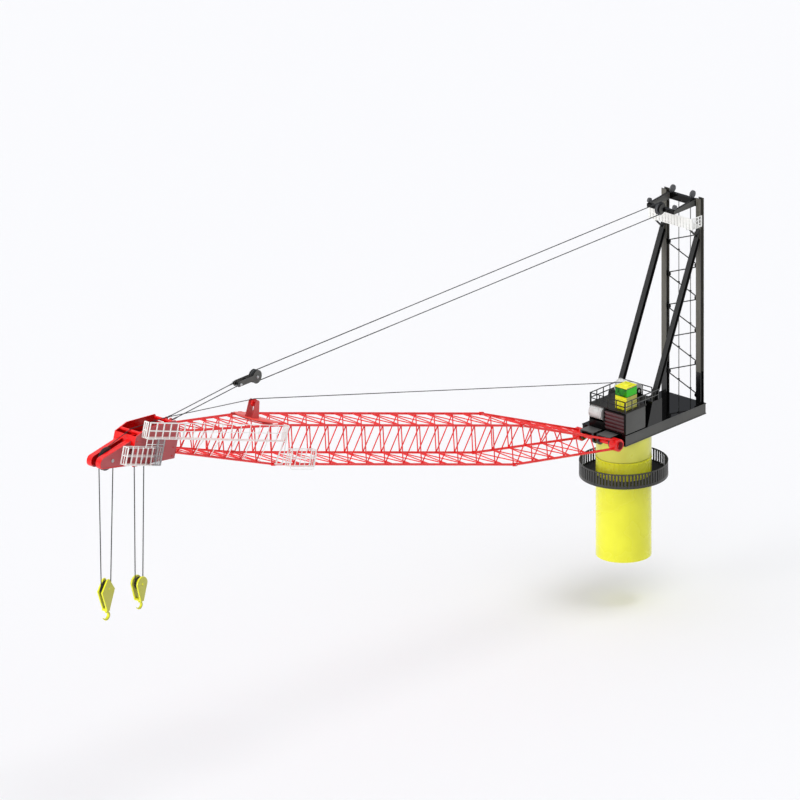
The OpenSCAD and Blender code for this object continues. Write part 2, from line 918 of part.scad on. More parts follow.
// Boom head: outer plates carry on from the chords, inner plates form the nose
head_s = boom_l + seat_gap;
head_plate_t = 12;
head_y = tip_half_w;
nose_y = 86;
nose_t = 58;
horn_s = 90;
horn_n = 220;
crest_s = 520;
crest_n = 140;
brow_s = 680;
brow_n = 50;
keel_n = -170;
chin_n = -262;
chin_s = 640;
nose_reach = 920;
nose_s = boom_l + nose_reach;
nose_n = -210;
nose_tip_reach = 1050;
nose_tip_s = boom_l + nose_tip_reach;
nose_tip_n = -238;
nose_tip_r = 62;
nose_root_s = 40;
nose_root_n = 95;
aux_reach = 530;
aux_s = boom_l + aux_reach;
aux_n = -172;
aux_y = (nose_y + head_y - head_plate_t) / 2;
head_pin_d = 30;
pendant_ahead = 30;
pendant_s = boom_l + pendant_ahead;
pendant_n = 197;
pendant_y = 28;
lug_t = 10;
lug_r = 22;
lug_pin_d = 16;
lug_tube_d = 30;
lug_h = 46;
guide_r = 18;
guide_y = head_y - head_plate_t;
horn_guide_s = 92;
horn_guide_n = 190;
brow_guide_s = 600;
brow_guide_n = 76;
guides = [[boom_l + horn_guide_s, horn_guide_n], [boom_l + brow_guide_s, brow_guide_n]];

module outer_profile() {
  translate([boom_l, 0])
    polygon([
      [seat_gap, keel_n], [seat_gap, tip_half_d + chord_d / 2], [horn_s, horn_n], [crest_s, crest_n],
      [brow_s, brow_n], [brow_s, chin_n + lug_h], [chin_s, chin_n]
    ]);
}

module nose_profile() {
  union() {
    polygon([
      [boom_l + nose_root_s, keel_n], [boom_l + nose_root_s, nose_root_n], [boom_l + brow_s, 0],
      [nose_tip_s + nose_tip_r * sin(boom_angle), nose_tip_n + nose_tip_r * cos(boom_angle)],
      [nose_tip_s, nose_tip_n - nose_tip_r], [boom_l + chin_s, chin_n]
    ]);
    translate([nose_tip_s, nose_tip_n]) circle(r = nose_tip_r);
  }
}

module boom_head() {
  color(red)
    on_boom() {
      // Guide tubes under the rope from the tower
      for (g = guides) y_rod(g[0], g[1], 2 * guide_r, -guide_y - overrun, guide_y + overrun);
      both_sides() {
        side_plate(head_y - head_plate_t, head_y)
          difference() {
            outer_profile();
            translate([aux_s, aux_n]) circle(d = head_pin_d);
          }
        side_plate(nose_y - nose_t, nose_y)
          difference() {
            nose_profile();
            translate([aux_s, aux_n]) circle(d = head_pin_d);
            translate([nose_s, nose_n]) circle(d = head_pin_d);
          }
        side_plate(pendant_y - lug_t / 2, pendant_y + lug_t / 2)
          difference() {
            union() {
              translate([pendant_s, pendant_n]) circle(r = lug_r);
              translate([pendant_s - lug_r, pendant_n - lug_h]) square([2 * lug_r, lug_h]);
            }
            translate([pendant_s, pendant_n]) circle(d = lug_pin_d);
          }
      }
      // Cross members: bulkhead, lug beam and brow plate
      block([head_s, -head_y, keel_n], [boom_l + nose_root_s + head_plate_t, head_y, keel_n + head_plate_t]);
      block(
        [pendant_s - lug_r + seat_gap, -head_y, pendant_n - lug_h - lug_tube_d],
        [pendant_s + lug_r, head_y, pendant_n - lug_h + overrun]);
      block(
        [boom_l + brow_s - head_plate_t, -head_y, -brow_n],
        [boom_l + brow_s, head_y, brow_n - overrun]);
    }
}

sheave_w = 26;
module boom_head_sheaves() {
  color(light_grey)
    on_boom() {
      y_rod(nose_s, nose_n, head_pin_d - 2 * pin_gap, -nose_y, nose_y);
      translate([nose_s, 0, nose_n]) sheave(nose_sheave_r, sheave_w, head_pin_d / 2 - pin_gap);
      y_rod(aux_s, aux_n, head_pin_d - 2 * pin_gap, nose_y - nose_t, head_y);
      translate([aux_s, aux_y, aux_n]) sheave(aux_sheave_r, sheave_w, head_pin_d / 2 - pin_gap);
    }
}

// Rope tower on the top chords
tower_ahead = 140;
tower_s = foot_l + mid_l + tower_ahead;
tower_lean = atan2(boom_d / 2 - tip_half_d, tip_l);
tower_foot = half_d(tower_s) + chord_flat + seat_gap;
tower_base = 80;
tower_base_t = 10;
tower_h = 168;
tower_half = 58;
tower_neck = 33;
tower_y = 36;
tower_plate = 10;
tower_sheave_r = 34;
tower_sheave_w = 22;
tower_pin_d = 14;

module on_tower() {
  on_boom() translate([tower_s, 0, tower_foot]) rotate([0, tower_lean, 0]) children();
}

module rope_tower() {
  half = half_w(tower_s) + chord_flat / 2;
  color(red)
    on_tower() {
      linear_extrude(tower_base_t)
        polygon([
          [-tower_base / 4, -half], [tower_base / 4, -half], [tower_base, 0], [tower_base / 4, half],
          [-tower_base / 4, half], [-tower_base, 0]
        ]);
      both_sides()
        side_plate(tower_y, tower_y + tower_plate)
          difference() {
            union() {
              polygon([
                [-tower_half, 0], [tower_half, 0], [tower_neck, tower_h], [-tower_neck, tower_h]
              ]);
              translate([0, tower_h]) circle(r = tower_neck);
            }
            translate([0, tower_h]) circle(d = tower_pin_d);
          }
    }
}

module tower_sheave() {
  y = tower_y + tower_plate;
  color(light_grey)
    on_tower() {
      y_rod(0, tower_h, tower_pin_d - 2 * pin_gap, -y, y);
      translate([0, 0, tower_h]) sheave(tower_sheave_r, tower_sheave_w, tower_pin_d / 2 - pin_gap);
    }
}

// Gangway along the near side of the boom's head, with a heavier cage round its front end
gang_back = 40;
gang_ahead = 593;
cage_ahead = 50;
gang_s0 = foot_l + mid_l - gang_back;
gang_s1 = boom_l + gang_ahead;
gang_n = 50;
gang_w0 = 62;
gang_w1 = 78;
gang_rail_h = 165;
gang_rails_share = [0.5, 1];
gang_bars = 12;
cage_bars = 6;
end_bars = 3;
cage_bar_t = 10;
gang_in0 = half_w(gang_s0) + chord_flat + seat_gap;
gang_tip = tip_half_w + chord_flat + seat_gap;
gang_in1 = head_y + seat_gap;

module gangway_floor() {
  color(white)
    on_boom()
      translate([0, 0, gang_n - floor_t])
        linear_extrude(floor_t)
          polygon([
            [gang_s0, gang_in0], [tip_s, gang_in0], [boom_l, gang_tip], [boom_l + chord_flat, gang_in1],
            [gang_s1, gang_in1], [gang_s1, gang_in1 + gang_w1], [gang_s0, gang_in0 + gang_w0]
          ]);
}

module gangway_railing() {
  lean = atan2(gang_in1 + gang_w1 - gang_in0 - gang_w0, gang_s1 - gang_s0);
  l = (gang_s1 - gang_s0) / cos(lean);
  cage_l = (gang_s1 - boom_l - cage_ahead) / cos(lean);
  heights = gang_rail_h * gang_rails_share;
  color(white)
    on_boom() {
      translate([gang_s0, gang_in0 + gang_w0 - cage_bar_t, gang_n])
        rotate([0, 0, lean]) {
          rail_panel(l - cage_l - rail_joint, gang_bars, heights, cage_t);
          translate([l - cage_l, 0, 0])
            rail_panel(cage_l - cage_bar_t, cage_bars, heights, cage_bar_t);
        }
      translate([gang_s1, gang_in1, gang_n])
        rotate([0, 0, 90])
          rail_panel(gang_w1 - 2 * cage_bar_t - rail_joint, end_bars, heights, cage_bar_t);
      translate([gang_s0 + cage_t, gang_in0, gang_n])
        rotate([0, 0, 90])
          rail_panel(gang_w0 - 2 * cage_bar_t - rail_joint, end_bars, heights, cage_t);
    }
}

// Baskets
basket_ahead = 300;
basket_y0 = head_y + seat_gap;
basket_w = 76;
basket_h = 180;
head_basket_s = boom_l + basket_ahead;
head_basket_l = 560;
head_basket_n = -232;
head_bars = 8;
hanger_l = 290;
hanger_bars = 4;
hanger_shares = [0.4, 1];

// An open basket of flat barred panels standing on a floor plate
module basket(l, w, h, bars, t) {
  heights = h * gang_rails_share;
  cube([l, w, t]);
  translate([0, 0, t + seat_gap]) {
    for (y = [0, w - t])
      translate([0, y, 0]) rail_panel(l, bars, heights, t);
    for (x = [t, l])
      translate([x, t + rail_joint, 0])
        rotate([0, 0, 90]) rail_panel(w - 2 * (t + rail_joint), end_bars, heights, t);
  }
}

// The basket hangs from the gangway by a barred panel along its outer edge
module head_basket() {
  hanger_z = head_basket_n + cage_t + basket_h + 2 * seat_gap;
  hanger_h = gang_n - floor_t - seat_gap - hanger_z;
  color(white)
    on_boom() {
      translate([head_basket_s, basket_y0, head_basket_n])
        basket(head_basket_l, basket_w, basket_h, head_bars, cage_t);
      translate([head_basket_s, basket_y0 + basket_w - cage_t, hanger_z])
        rail_panel(hanger_l, hanger_bars, hanger_h * hanger_shares, cage_t, bearer_t);
    }
}

landing_back = 560;
landing_s0 = foot_l + mid_l - landing_back;
landing_bars = 6;
landing_l = 390;
landing_w = 66;
landing_h = 172;
module landing_basket() {
  color(white)
    on_boom()
      translate([landing_s0, boom_w / 2 + chord_flat + seat_gap, -boom_d / 2 - chord_d / 2])
        basket(landing_l, landing_w, landing_h, landing_bars, cage_t);
}

// Luffing gear: ropes from the mast head to the bridle, pendants on to the boom head
bridle_ahead = 5313;
bridle_x = pin_x + bridle_ahead;
bridle_z = luff_z;
luff_rope_d = 10;
luff_rope_r = luff_sheave_r + luff_rope_d / 2 + seat_gap;
luff_run = norm([bridle_x - luff_x, bridle_z - luff_z]);
luff_slope = atan2(bridle_z - luff_z, bridle_x - luff_x);
pendant_end = boom_point(pendant_s, pendant_n);

module on_luff() {
  translate([luff_x, 0, luff_z]) rotate([0, -luff_slope, 0]) children();
}

module luff_ropes() {
  color(rope_grey)
    on_luff() rotate([0, -90, 0]) rope_loop(luff_rope_r, luff_rope_r, luff_run, luff_rope_d);
}

bridle_tail = 275;
bridle_cheek_y = 22;
bridle_cheek_t = 8;
bridle_cheek_r = 70;
bridle_tail_r = 30;
bridle_pin_d = 24;

module on_bridle() {
  translate([bridle_x, 0, bridle_z]) rotate([0, -luff_slope, 0]) children();
}

module bridle_block() {
  color(black)
    on_bridle() {
      both_sides()
        side_plate(bridle_cheek_y, bridle_cheek_y + bridle_cheek_t)
          difference() {
            union() {
              circle(r = bridle_cheek_r);
              translate([bridle_tail, 0]) circle(r = bridle_tail_r);
              translate([0, -bridle_tail_r]) square([bridle_tail, 2 * bridle_tail_r]);
            }
            circle(d = bridle_pin_d);
          }
      y_rod(
        bridle_tail, 0, bridle_tail_r, -bridle_cheek_y - overrun, bridle_cheek_y + overrun);
      block(
        [bridle_tail / 2, -bridle_cheek_y - overrun, -bridle_tail_r / 2],
        [bridle_tail / 2 + bridle_tail_r, bridle_cheek_y + overrun, bridle_tail_r / 2]);
    }
}

module bridle_sheave() {
  y = bridle_cheek_y + bridle_cheek_t;
  color(light_grey)
    on_bridle() {
      y_rod(0, 0, bridle_pin_d - 2 * pin_gap, -y, y);
      sheave(luff_sheave_r, luff_sheave_w, bridle_pin_d / 2 - pin_gap);
    }
}

pendant_d = 10;
socket_d = 18;
socket_l = 70;
tail_x = bridle_x + bridle_tail * cos(luff_slope);
tail_z = bridle_z + bridle_tail * sin(luff_slope);
pendant_run = norm([pendant_end[0] - tail_x, pendant_end[1] - tail_z]);
pendant_slope = atan2(pendant_end[1] - tail_z, pendant_end[0] - tail_x);
module pendants() {
  y = bridle_cheek_y + bridle_cheek_t + socket_d / 2 + seat_gap;
  s1 = pendant_run - lug_r - run_gap;
  color(rope_grey)
    translate([tail_x, 0, tail_z])
      rotate([0, -pendant_slope, 0])
        both_sides() {
          bar([0, y, 0], [s1, y, 0], pendant_d);
          bar([-socket_d, y, 0], [socket_l, y, 0], socket_d);
          bar([s1 - socket_l, y, 0], [s1, y, 0], socket_d);
        }
}

// Hoist rope: from the roof winch to the rope tower, then down the boom to the nose
hoist_rope_r = hoist_r + rope_d / 2 + seat_gap;
tower_rope_r = tower_sheave_r + rope_d / 2 + seat_gap;
tower_s1 = tower_s + tower_h * sin(tower_lean);
tower_n1 = tower_foot + tower_h * cos(tower_lean);
tower_at = boom_point(tower_s1, tower_n1);
hoist_run = norm([tower_at[0] - hoist_x, tower_at[1] - hoist_z]);
hoist_slope = atan2(tower_at[1] - hoist_z, tower_at[0] - hoist_x)
  - asin((hoist_rope_r - tower_rope_r) / hoist_run);

module hoist_rope() {
  up = [-sin(hoist_slope), 0, cos(hoist_slope)];
  a = [hoist_x, 0, hoist_z] + hoist_rope_r * up;
  b = [tower_at[0], 0, tower_at[1]] + tower_rope_r * up;
  color(rope_grey) rope_run(a, b, rope_d);
}

// Slope of a rope over the tops of two round things, each given by its centre and the rope's radius there
function top_slope(a, ra, b, rb) =
  atan2(b[1] - a[1], b[0] - a[0]) + asin((rb - ra) / norm(b - a));

nose_rope_r = nose_sheave_r + rope_d / 2 + seat_gap;
guide_rope_r = guide_r + rope_d / 2 + seat_gap;
boom_rope_stop = 60;
module boom_rope() {
  stops = [[tower_s1, tower_n1], guides[0], guides[1], [nose_s, nose_n]];
  radii = [tower_rope_r, guide_rope_r, guide_rope_r, nose_rope_r];
  slopes = [for (i = [0 : 2]) top_slope(stops[i], radii[i], stops[i + 1], radii[i + 1])];
  arrive = hoist_slope - boom_angle;
  color(rope_grey)
    on_boom() {
      for (i = [0 : 2]) {
        up = [-sin(slopes[i]), 0, cos(slopes[i])];
        along = [cos(slopes[i]), 0, sin(slopes[i])];
        short = i == 2 ? boom_rope_stop : 0;
        rope_run(
          [stops[i][0], 0, stops[i][1]] + radii[i] * up,
          [stops[i + 1][0], 0, stops[i + 1][1]] + radii[i + 1] * up - short * along, rope_d);
      }
      translate([tower_s1, 0, tower_n1])
        rope_arc(tower_rope_r, 90 + slopes[0], arrive - slopes[0], rope_d);
      translate([guides[1][0], 0, guides[1][1]])
        rope_arc(guide_rope_r, 90 + slopes[2], slopes[1] - slopes[2], rope_d);
    }
}

// Hook blocks hang from the boom head
main_at = boom_point(nose_s, nose_n);
aux_at = boom_point(aux_s, aux_n);
block_rope_r = main_sheave_r + rope_d / 2 + seat_gap;
aux_rope_r = aux_sheave_r + rope_d / 2 + seat_gap;
aux_block_rope_r = aux_block_r + rope_d / 2 + seat_gap;

module at_main() {
  translate([main_at[0], 0, main_at[1]]) children();
}

module at_aux() {
  translate([aux_at[0], aux_y, aux_at[1]]) children();
}

module main_fall_ropes() {
  color(rope_grey) at_main() rope_loop(nose_rope_r, block_rope_r, main_drop, rope_d);
}

module aux_fall_ropes() {
  color(rope_grey) at_aux() rope_loop(aux_rope_r, aux_block_rope_r, aux_drop, rope_d);
}

cheek_in = 16;
cheek_plate = 22;
block_pin_d = 22;
main_half_w = 100;
main_waist = 22;
main_up = 100;
main_down = 240;
main_round = 16;
shank_d = 26;
shank_gap = 0.1;

module kite_cheek() {
  polygon([
    [-main_half_w, -main_waist], [-main_round, -main_down], [main_round, -main_down],
    [main_half_w, -main_waist], [main_round, main_up], [-main_round, main_up]
  ]);
}

module main_block() {
  out = cheek_in + cheek_plate;
  color(yellow)
    at_main()
      translate([0, 0, -main_drop])
        difference() {
          union() {
            both_sides()
              side_plate(cheek_in, out)
                difference() {
                  kite_cheek();
                  circle(d = block_pin_d);
                }
            block([-shank_d, -out, -main_down], [shank_d, out, -main_down + shank_d]);
          }
          translate([0, 0, -main_down - overrun])
            cylinder(d = shank_d + 2 * shank_gap, h = shank_d + 2 * overrun);
        }
}

module main_block_sheave() {
  y = cheek_in + cheek_plate;
  color(dark_grey)
    at_main()
      translate([0, 0, -main_drop]) {
        y_rod(0, 0, block_pin_d - 2 * pin_gap, -y, y);
        sheave(main_sheave_r, sheave_w, block_pin_d / 2 - pin_gap);
      }
}

// A hook in the XZ plane under the origin, on a round shank with a collar above the crosshead
hook_turn = 250;
hook_lap = 3;
module hook(d, collar, bend_r, neck, head) {
  cylinder(d = d, h = head);
  translate([0, 0, head - overrun]) cylinder(d = collar, h = d / 2);
  translate([0, 0, -neck]) cylinder(d = d, h = neck);
  translate([0, 0, -neck - bend_r]) {
    rotate([90, 0, 0])
      rotate([0, 0, 90])
        rotate_extrude(angle = hook_turn) translate([bend_r, 0]) circle(d = d);
    rotate([0, 270 - hook_turn, 0])
      translate([bend_r, 0, -hook_lap]) cylinder(d1 = d - overrun, d2 = d / 2, h = d);
  }
}

main_hook_r = 40;
main_hook_neck = 14;
module main_hook() {
  color(yellow)
    at_main()
      translate([0, 0, -main_drop - main_down])
        hook(shank_d, 2 * (cheek_in - overrun), main_hook_r, main_hook_neck, shank_d + seat_gap + overrun);
}

aux_half_w = 79;
aux_up_r = 79;
aux_down = 185;
aux_in = 26;
aux_plate = 24;
aux_shank = 22;
module aux_block() {
  out = aux_in + aux_plate;
  color(yellow)
    at_aux()
      translate([0, 0, -aux_drop])
        difference() {
          union() {
            both_sides()
              side_plate(aux_in, out)
                difference() {
                  union() {
                    circle(r = aux_up_r);
                    polygon([
                      [-aux_half_w, 0], [-aux_shank, -aux_down], [aux_shank, -aux_down], [aux_half_w, 0]
                    ]);
                  }
                  circle(d = block_pin_d);
                }
            block([-aux_shank, -out, -aux_down], [aux_shank, out, -aux_down + aux_shank]);
          }
          translate([0, 0, -aux_down - overrun])
            cylinder(d = aux_shank + 2 * shank_gap, h = aux_shank + 2 * overrun);
        }
}

module aux_block_sheave() {
  y = aux_in + aux_plate;
  color(dark_grey)
    at_aux()
      translate([0, 0, -aux_drop]) {
        y_rod(0, 0, block_pin_d - 2 * pin_gap, -y, y);
        sheave(aux_block_r, sheave_w, block_pin_d / 2 - pin_gap);
      }
}

aux_hook_r = 36;
aux_hook_neck = 12;
module aux_hook() {
  color(yellow)
    at_aux()
      translate([0, 0, -aux_drop - aux_down])
        hook(aux_shank, 2 * aux_shank, aux_hook_r, aux_hook_neck, aux_shank + seat_gap + overrun);
}

pedestal_column();
slew_bearing();
ring_walkway_floor();
ring_walkway_railing();
slew_turret();
revolving_deck();
boom_foot_brackets();
boom_foot_pins();
machinery_house();
strut_brackets();
roof_deck();
roof_railing();
cab_body();
cab_glazing();
cab_roof();
front_winch_frame();
front_winch_drum();
roof_winch_stand();
roof_winch_drum();
mast_legs();
mast_bracing();
mast_struts();
mast_head_frame();
mast_head_sheaves();
mast_platform();
mast_platform_railing();
mast_ropes();
boom_foot_sides();
boom_foot_lacing();
boom_mid_sides();
boom_mid_lacing();
boom_tip_sides();
boom_tip_lacing();
boom_head();
boom_head_sheaves();
rope_tower();
tower_sheave();
gangway_floor();
gangway_railing();
head_basket();
landing_basket();
boom_rope();
luff_ropes();
bridle_block();
bridle_sheave();
pendants();
hoist_rope();
main_fall_ropes();
main_block();
main_block_sheave();
main_hook();
aux_fall_ropes();
aux_block();
aux_block_sheave();
aux_hook();
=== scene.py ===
# Offshore pedestal crane with a lattice boom: finishes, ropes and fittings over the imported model
import math

import bpy
from mathutils import Matrix, Vector


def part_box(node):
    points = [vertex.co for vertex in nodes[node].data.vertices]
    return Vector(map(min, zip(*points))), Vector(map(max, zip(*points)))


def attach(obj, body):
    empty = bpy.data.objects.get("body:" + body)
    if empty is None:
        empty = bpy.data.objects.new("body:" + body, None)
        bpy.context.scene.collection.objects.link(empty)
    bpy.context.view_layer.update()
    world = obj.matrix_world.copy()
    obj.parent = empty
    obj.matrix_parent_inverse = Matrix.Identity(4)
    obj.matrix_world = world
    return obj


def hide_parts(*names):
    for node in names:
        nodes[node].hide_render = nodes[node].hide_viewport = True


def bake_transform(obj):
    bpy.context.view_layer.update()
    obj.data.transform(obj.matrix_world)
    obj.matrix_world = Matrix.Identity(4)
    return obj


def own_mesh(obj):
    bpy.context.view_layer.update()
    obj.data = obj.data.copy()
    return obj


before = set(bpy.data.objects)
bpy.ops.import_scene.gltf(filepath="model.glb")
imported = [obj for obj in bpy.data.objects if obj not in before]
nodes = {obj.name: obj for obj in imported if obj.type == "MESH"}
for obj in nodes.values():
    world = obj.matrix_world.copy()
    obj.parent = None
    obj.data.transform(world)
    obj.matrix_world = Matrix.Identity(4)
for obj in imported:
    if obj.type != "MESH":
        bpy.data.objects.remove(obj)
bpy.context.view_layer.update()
print("frame loaded,", len(nodes), "nodes")

# the boom's own axes at rest: s along it from the foot pins, n up from its centre line
boom = {
    "pin": (0.397, 1.3303),
    "angle": math.radians(16),
    "midEnd": 5.50,
    "length": 6.95,
    "halfWidth": 0.265,
    "halfDepth": 0.20,
    "tipHalfWidth": 0.14,
    "tipHalfDepth": 0.11,
}
pinX, pinZ = boom["pin"]
boomPlace = Matrix.Translation((pinX, 0, pinZ)) @ Matrix.Rotation(-boom["angle"], 4, "Y")


def boomPoint(s, y, n):
    return boomPlace @ Vector((s, y, n))


def linear(code):
    # sRGB hex to the linear colour that shaders take
    parts = [int(code[i : i + 2], 16) / 255 for i in (1, 3, 5)]
    return tuple(p / 12.92 if p <= 0.04045 else ((p + 0.055) / 1.055) ** 2.4 for p in parts) + (1.0,)


def addNode(owner, kind, settings=None, **inputs):
    # inputs are by socket name or number as i0, i1...; a socket given as a value is linked
    made = owner.node_tree.nodes.new("ShaderNode" + kind)
    for key, value in (settings or {}).items():
        setattr(made, key, value)
    for key, value in inputs.items():
        name = key.replace("_", " ")
        socket = made.inputs[int(key[1:])] if key[0] == "i" and key[1:].isdigit() else made.inputs[name]
        if isinstance(value, bpy.types.NodeSocket):
            owner.node_tree.links.new(value, socket)
        else:
            socket.default_value = value
    return made


def startMaterial(name):
    mat = bpy.data.materials.new(name)
    mat.use_nodes = True
    return mat, mat.node_tree.nodes["Principled BSDF"], addNode(mat, "TexCoord")


def setShader(mat, shader, **inputs):
    for key, value in inputs.items():
        socket = shader.inputs[key.replace("_", " ")]
        if isinstance(value, bpy.types.NodeSocket):
            mat.node_tree.links.new(value, socket)
        else:
            socket.default_value = value


# how the enamel lies, unless a finish says otherwise; sizes in metres, coarse enough to show at 10 mm a pixel
sprayed = {
    "cloudSize": 0.22, "cloudBand": (0.35, 0.7), "roughBand": (0.3, 0.75), "roughSpread": 0.1,
    "runWidth": 0.03, "runLength": 0.4, "runBand": (0.58, 0.85),
    "faceBand": (0.8, 0.93), "faceWear": 0.18,
    "peelSize": 0.012, "peelDepth": 0.002, "peel": 0.05,
    "ior": 1.5, "specular": 0.5, "coatRough": 0.06,
}


def enamel(name, finish):
    # two-pack marine enamel, sprayed: even colour, faint cloudiness, thin runs of dust down upright plates
    look = {**sprayed, **finish}
    mat, shader, coords = startMaterial(name)
    place = coords.outputs["Object"]
    cloud = addNode(mat, "TexNoise", i0=place, Scale=1 / look["cloudSize"], Detail=2.0)
    across, down = 1 / look["runWidth"], 1 / look["runLength"]
    drawn = addNode(mat, "Mapping", Vector=place, Scale=(across, across, down))
    runs = addNode(mat, "TexNoise", i0=drawn.outputs[0], Scale=1.0, Detail=2.0)
    low, high = look["cloudBand"]
    share = addNode(mat, "MapRange", Value=cloud.outputs[0], From_Min=low, From_Max=high, To_Max=1.0)
    body = addNode(
        mat, "MixRGB", Fac=share.outputs[0], Color1=linear(look["colour"]), Color2=linear(look["shade"]))
    low, high = look["runBand"]
    dusty = addNode(mat, "MapRange", Value=runs.outputs[0], From_Min=low, From_Max=high, To_Max=look["dust"])
    tone = addNode(
        mat, "MixRGB", Fac=dusty.outputs[0], Color1=body.outputs[0], Color2=linear(look["dustColour"]))
    low, high = look["roughBand"]
    rough = addNode(
        mat, "MapRange", Value=cloud.outputs[0], From_Min=low, From_Max=high,
        To_Min=look["rough"], To_Max=look["rough"] + look["roughSpread"])
    colourOut, roughOut = tone.outputs[0], rough.outputs[0]
    # faces along one axis get painted light and shade in place of the body colour
    if "paintedFaceLightShade" in look:
        colourOut, roughOut = paintFaceLightShade(mat, look, coords, cloud, colourOut)
    peel = addNode(mat, "TexNoise", i0=place, Scale=1 / look["peelSize"], Detail=1.0)  # orange peel
    bump = addNode(mat, "Bump", Strength=look["peel"], Distance=look["peelDepth"], Height=peel.outputs[0])
    setShader(
        mat, shader, Base_Color=colourOut, Roughness=roughOut, Normal=bump.outputs[0], IOR=look["ior"],
        Coat_Weight=look["coat"], Coat_Roughness=look["coatRough"], Specular_IOR_Level=look["specular"])
    return mat


def paintFaceLightShade(mat, look, coords, cloud, bodyColour):
    # faces along one axis get another colour and a flatter roughness: painted light and shade for how those
    # faces catch the light
    axis = look["faceAxis"]
    split = addNode(mat, "SeparateXYZ", Vector=coords.outputs["Normal"])
    spot = addNode(mat, "SeparateXYZ", Vector=coords.outputs["Object"])
    low, high = look["faceBand"]
    if "paintedInnerShade" in look:  # faces that look towards the middle get a darker colour, painted shade, and stay glossy
        side = addNode(mat, "Math", {"operation": "SIGN"}, i0=spot.outputs[axis])
        along = addNode(mat, "Math", {"operation": "MULTIPLY"}, i0=split.outputs[axis], i1=side.outputs[0])
        inward = addNode(mat, "MapRange", Value=along.outputs[0], From_Min=-low, From_Max=-high, To_Max=1.0)
        deeper = addNode(
            mat, "MixRGB", Fac=inward.outputs[0], Color1=bodyColour, Color2=linear(look["paintedInnerShade"]))
        bodyColour = deeper.outputs[0]
    else:
        along = addNode(mat, "Math", {"operation": "ABSOLUTE"}, i0=split.outputs[axis])
    onFace = addNode(mat, "MapRange", Value=along.outputs[0], From_Min=low, From_Max=high, To_Max=1.0)
    if "faceFrom" in look:  # below this height the painted light stops and the faces are black like the rest
        above = addNode(mat, "Math", {"operation": "GREATER_THAN"}, i0=spot.outputs["Z"], i1=look["faceFrom"])
        onFace = addNode(mat, "Math", {"operation": "MULTIPLY"}, i0=onFace.outputs[0], i1=above.outputs[0])
    low, high = look["roughBand"]
    worn = addNode(
        mat, "MapRange", Value=cloud.outputs[0], From_Min=low, From_Max=high, To_Max=look["faceWear"])
    paintedFace = addNode(
        mat, "MixRGB", Fac=worn.outputs[0], Color1=linear(look["paintedFaceLightShade"]),
        Color2=linear(look["dustColour"]))
    both = addNode(mat, "MixRGB", Fac=onFace.outputs[0], Color1=bodyColour, Color2=paintedFace.outputs[0])
    flat = addNode(mat, "MapRange", Value=onFace.outputs[0], To_Min=look["rough"], To_Max=look["faceRough"])
    return both.outputs[0], flat.outputs[0]


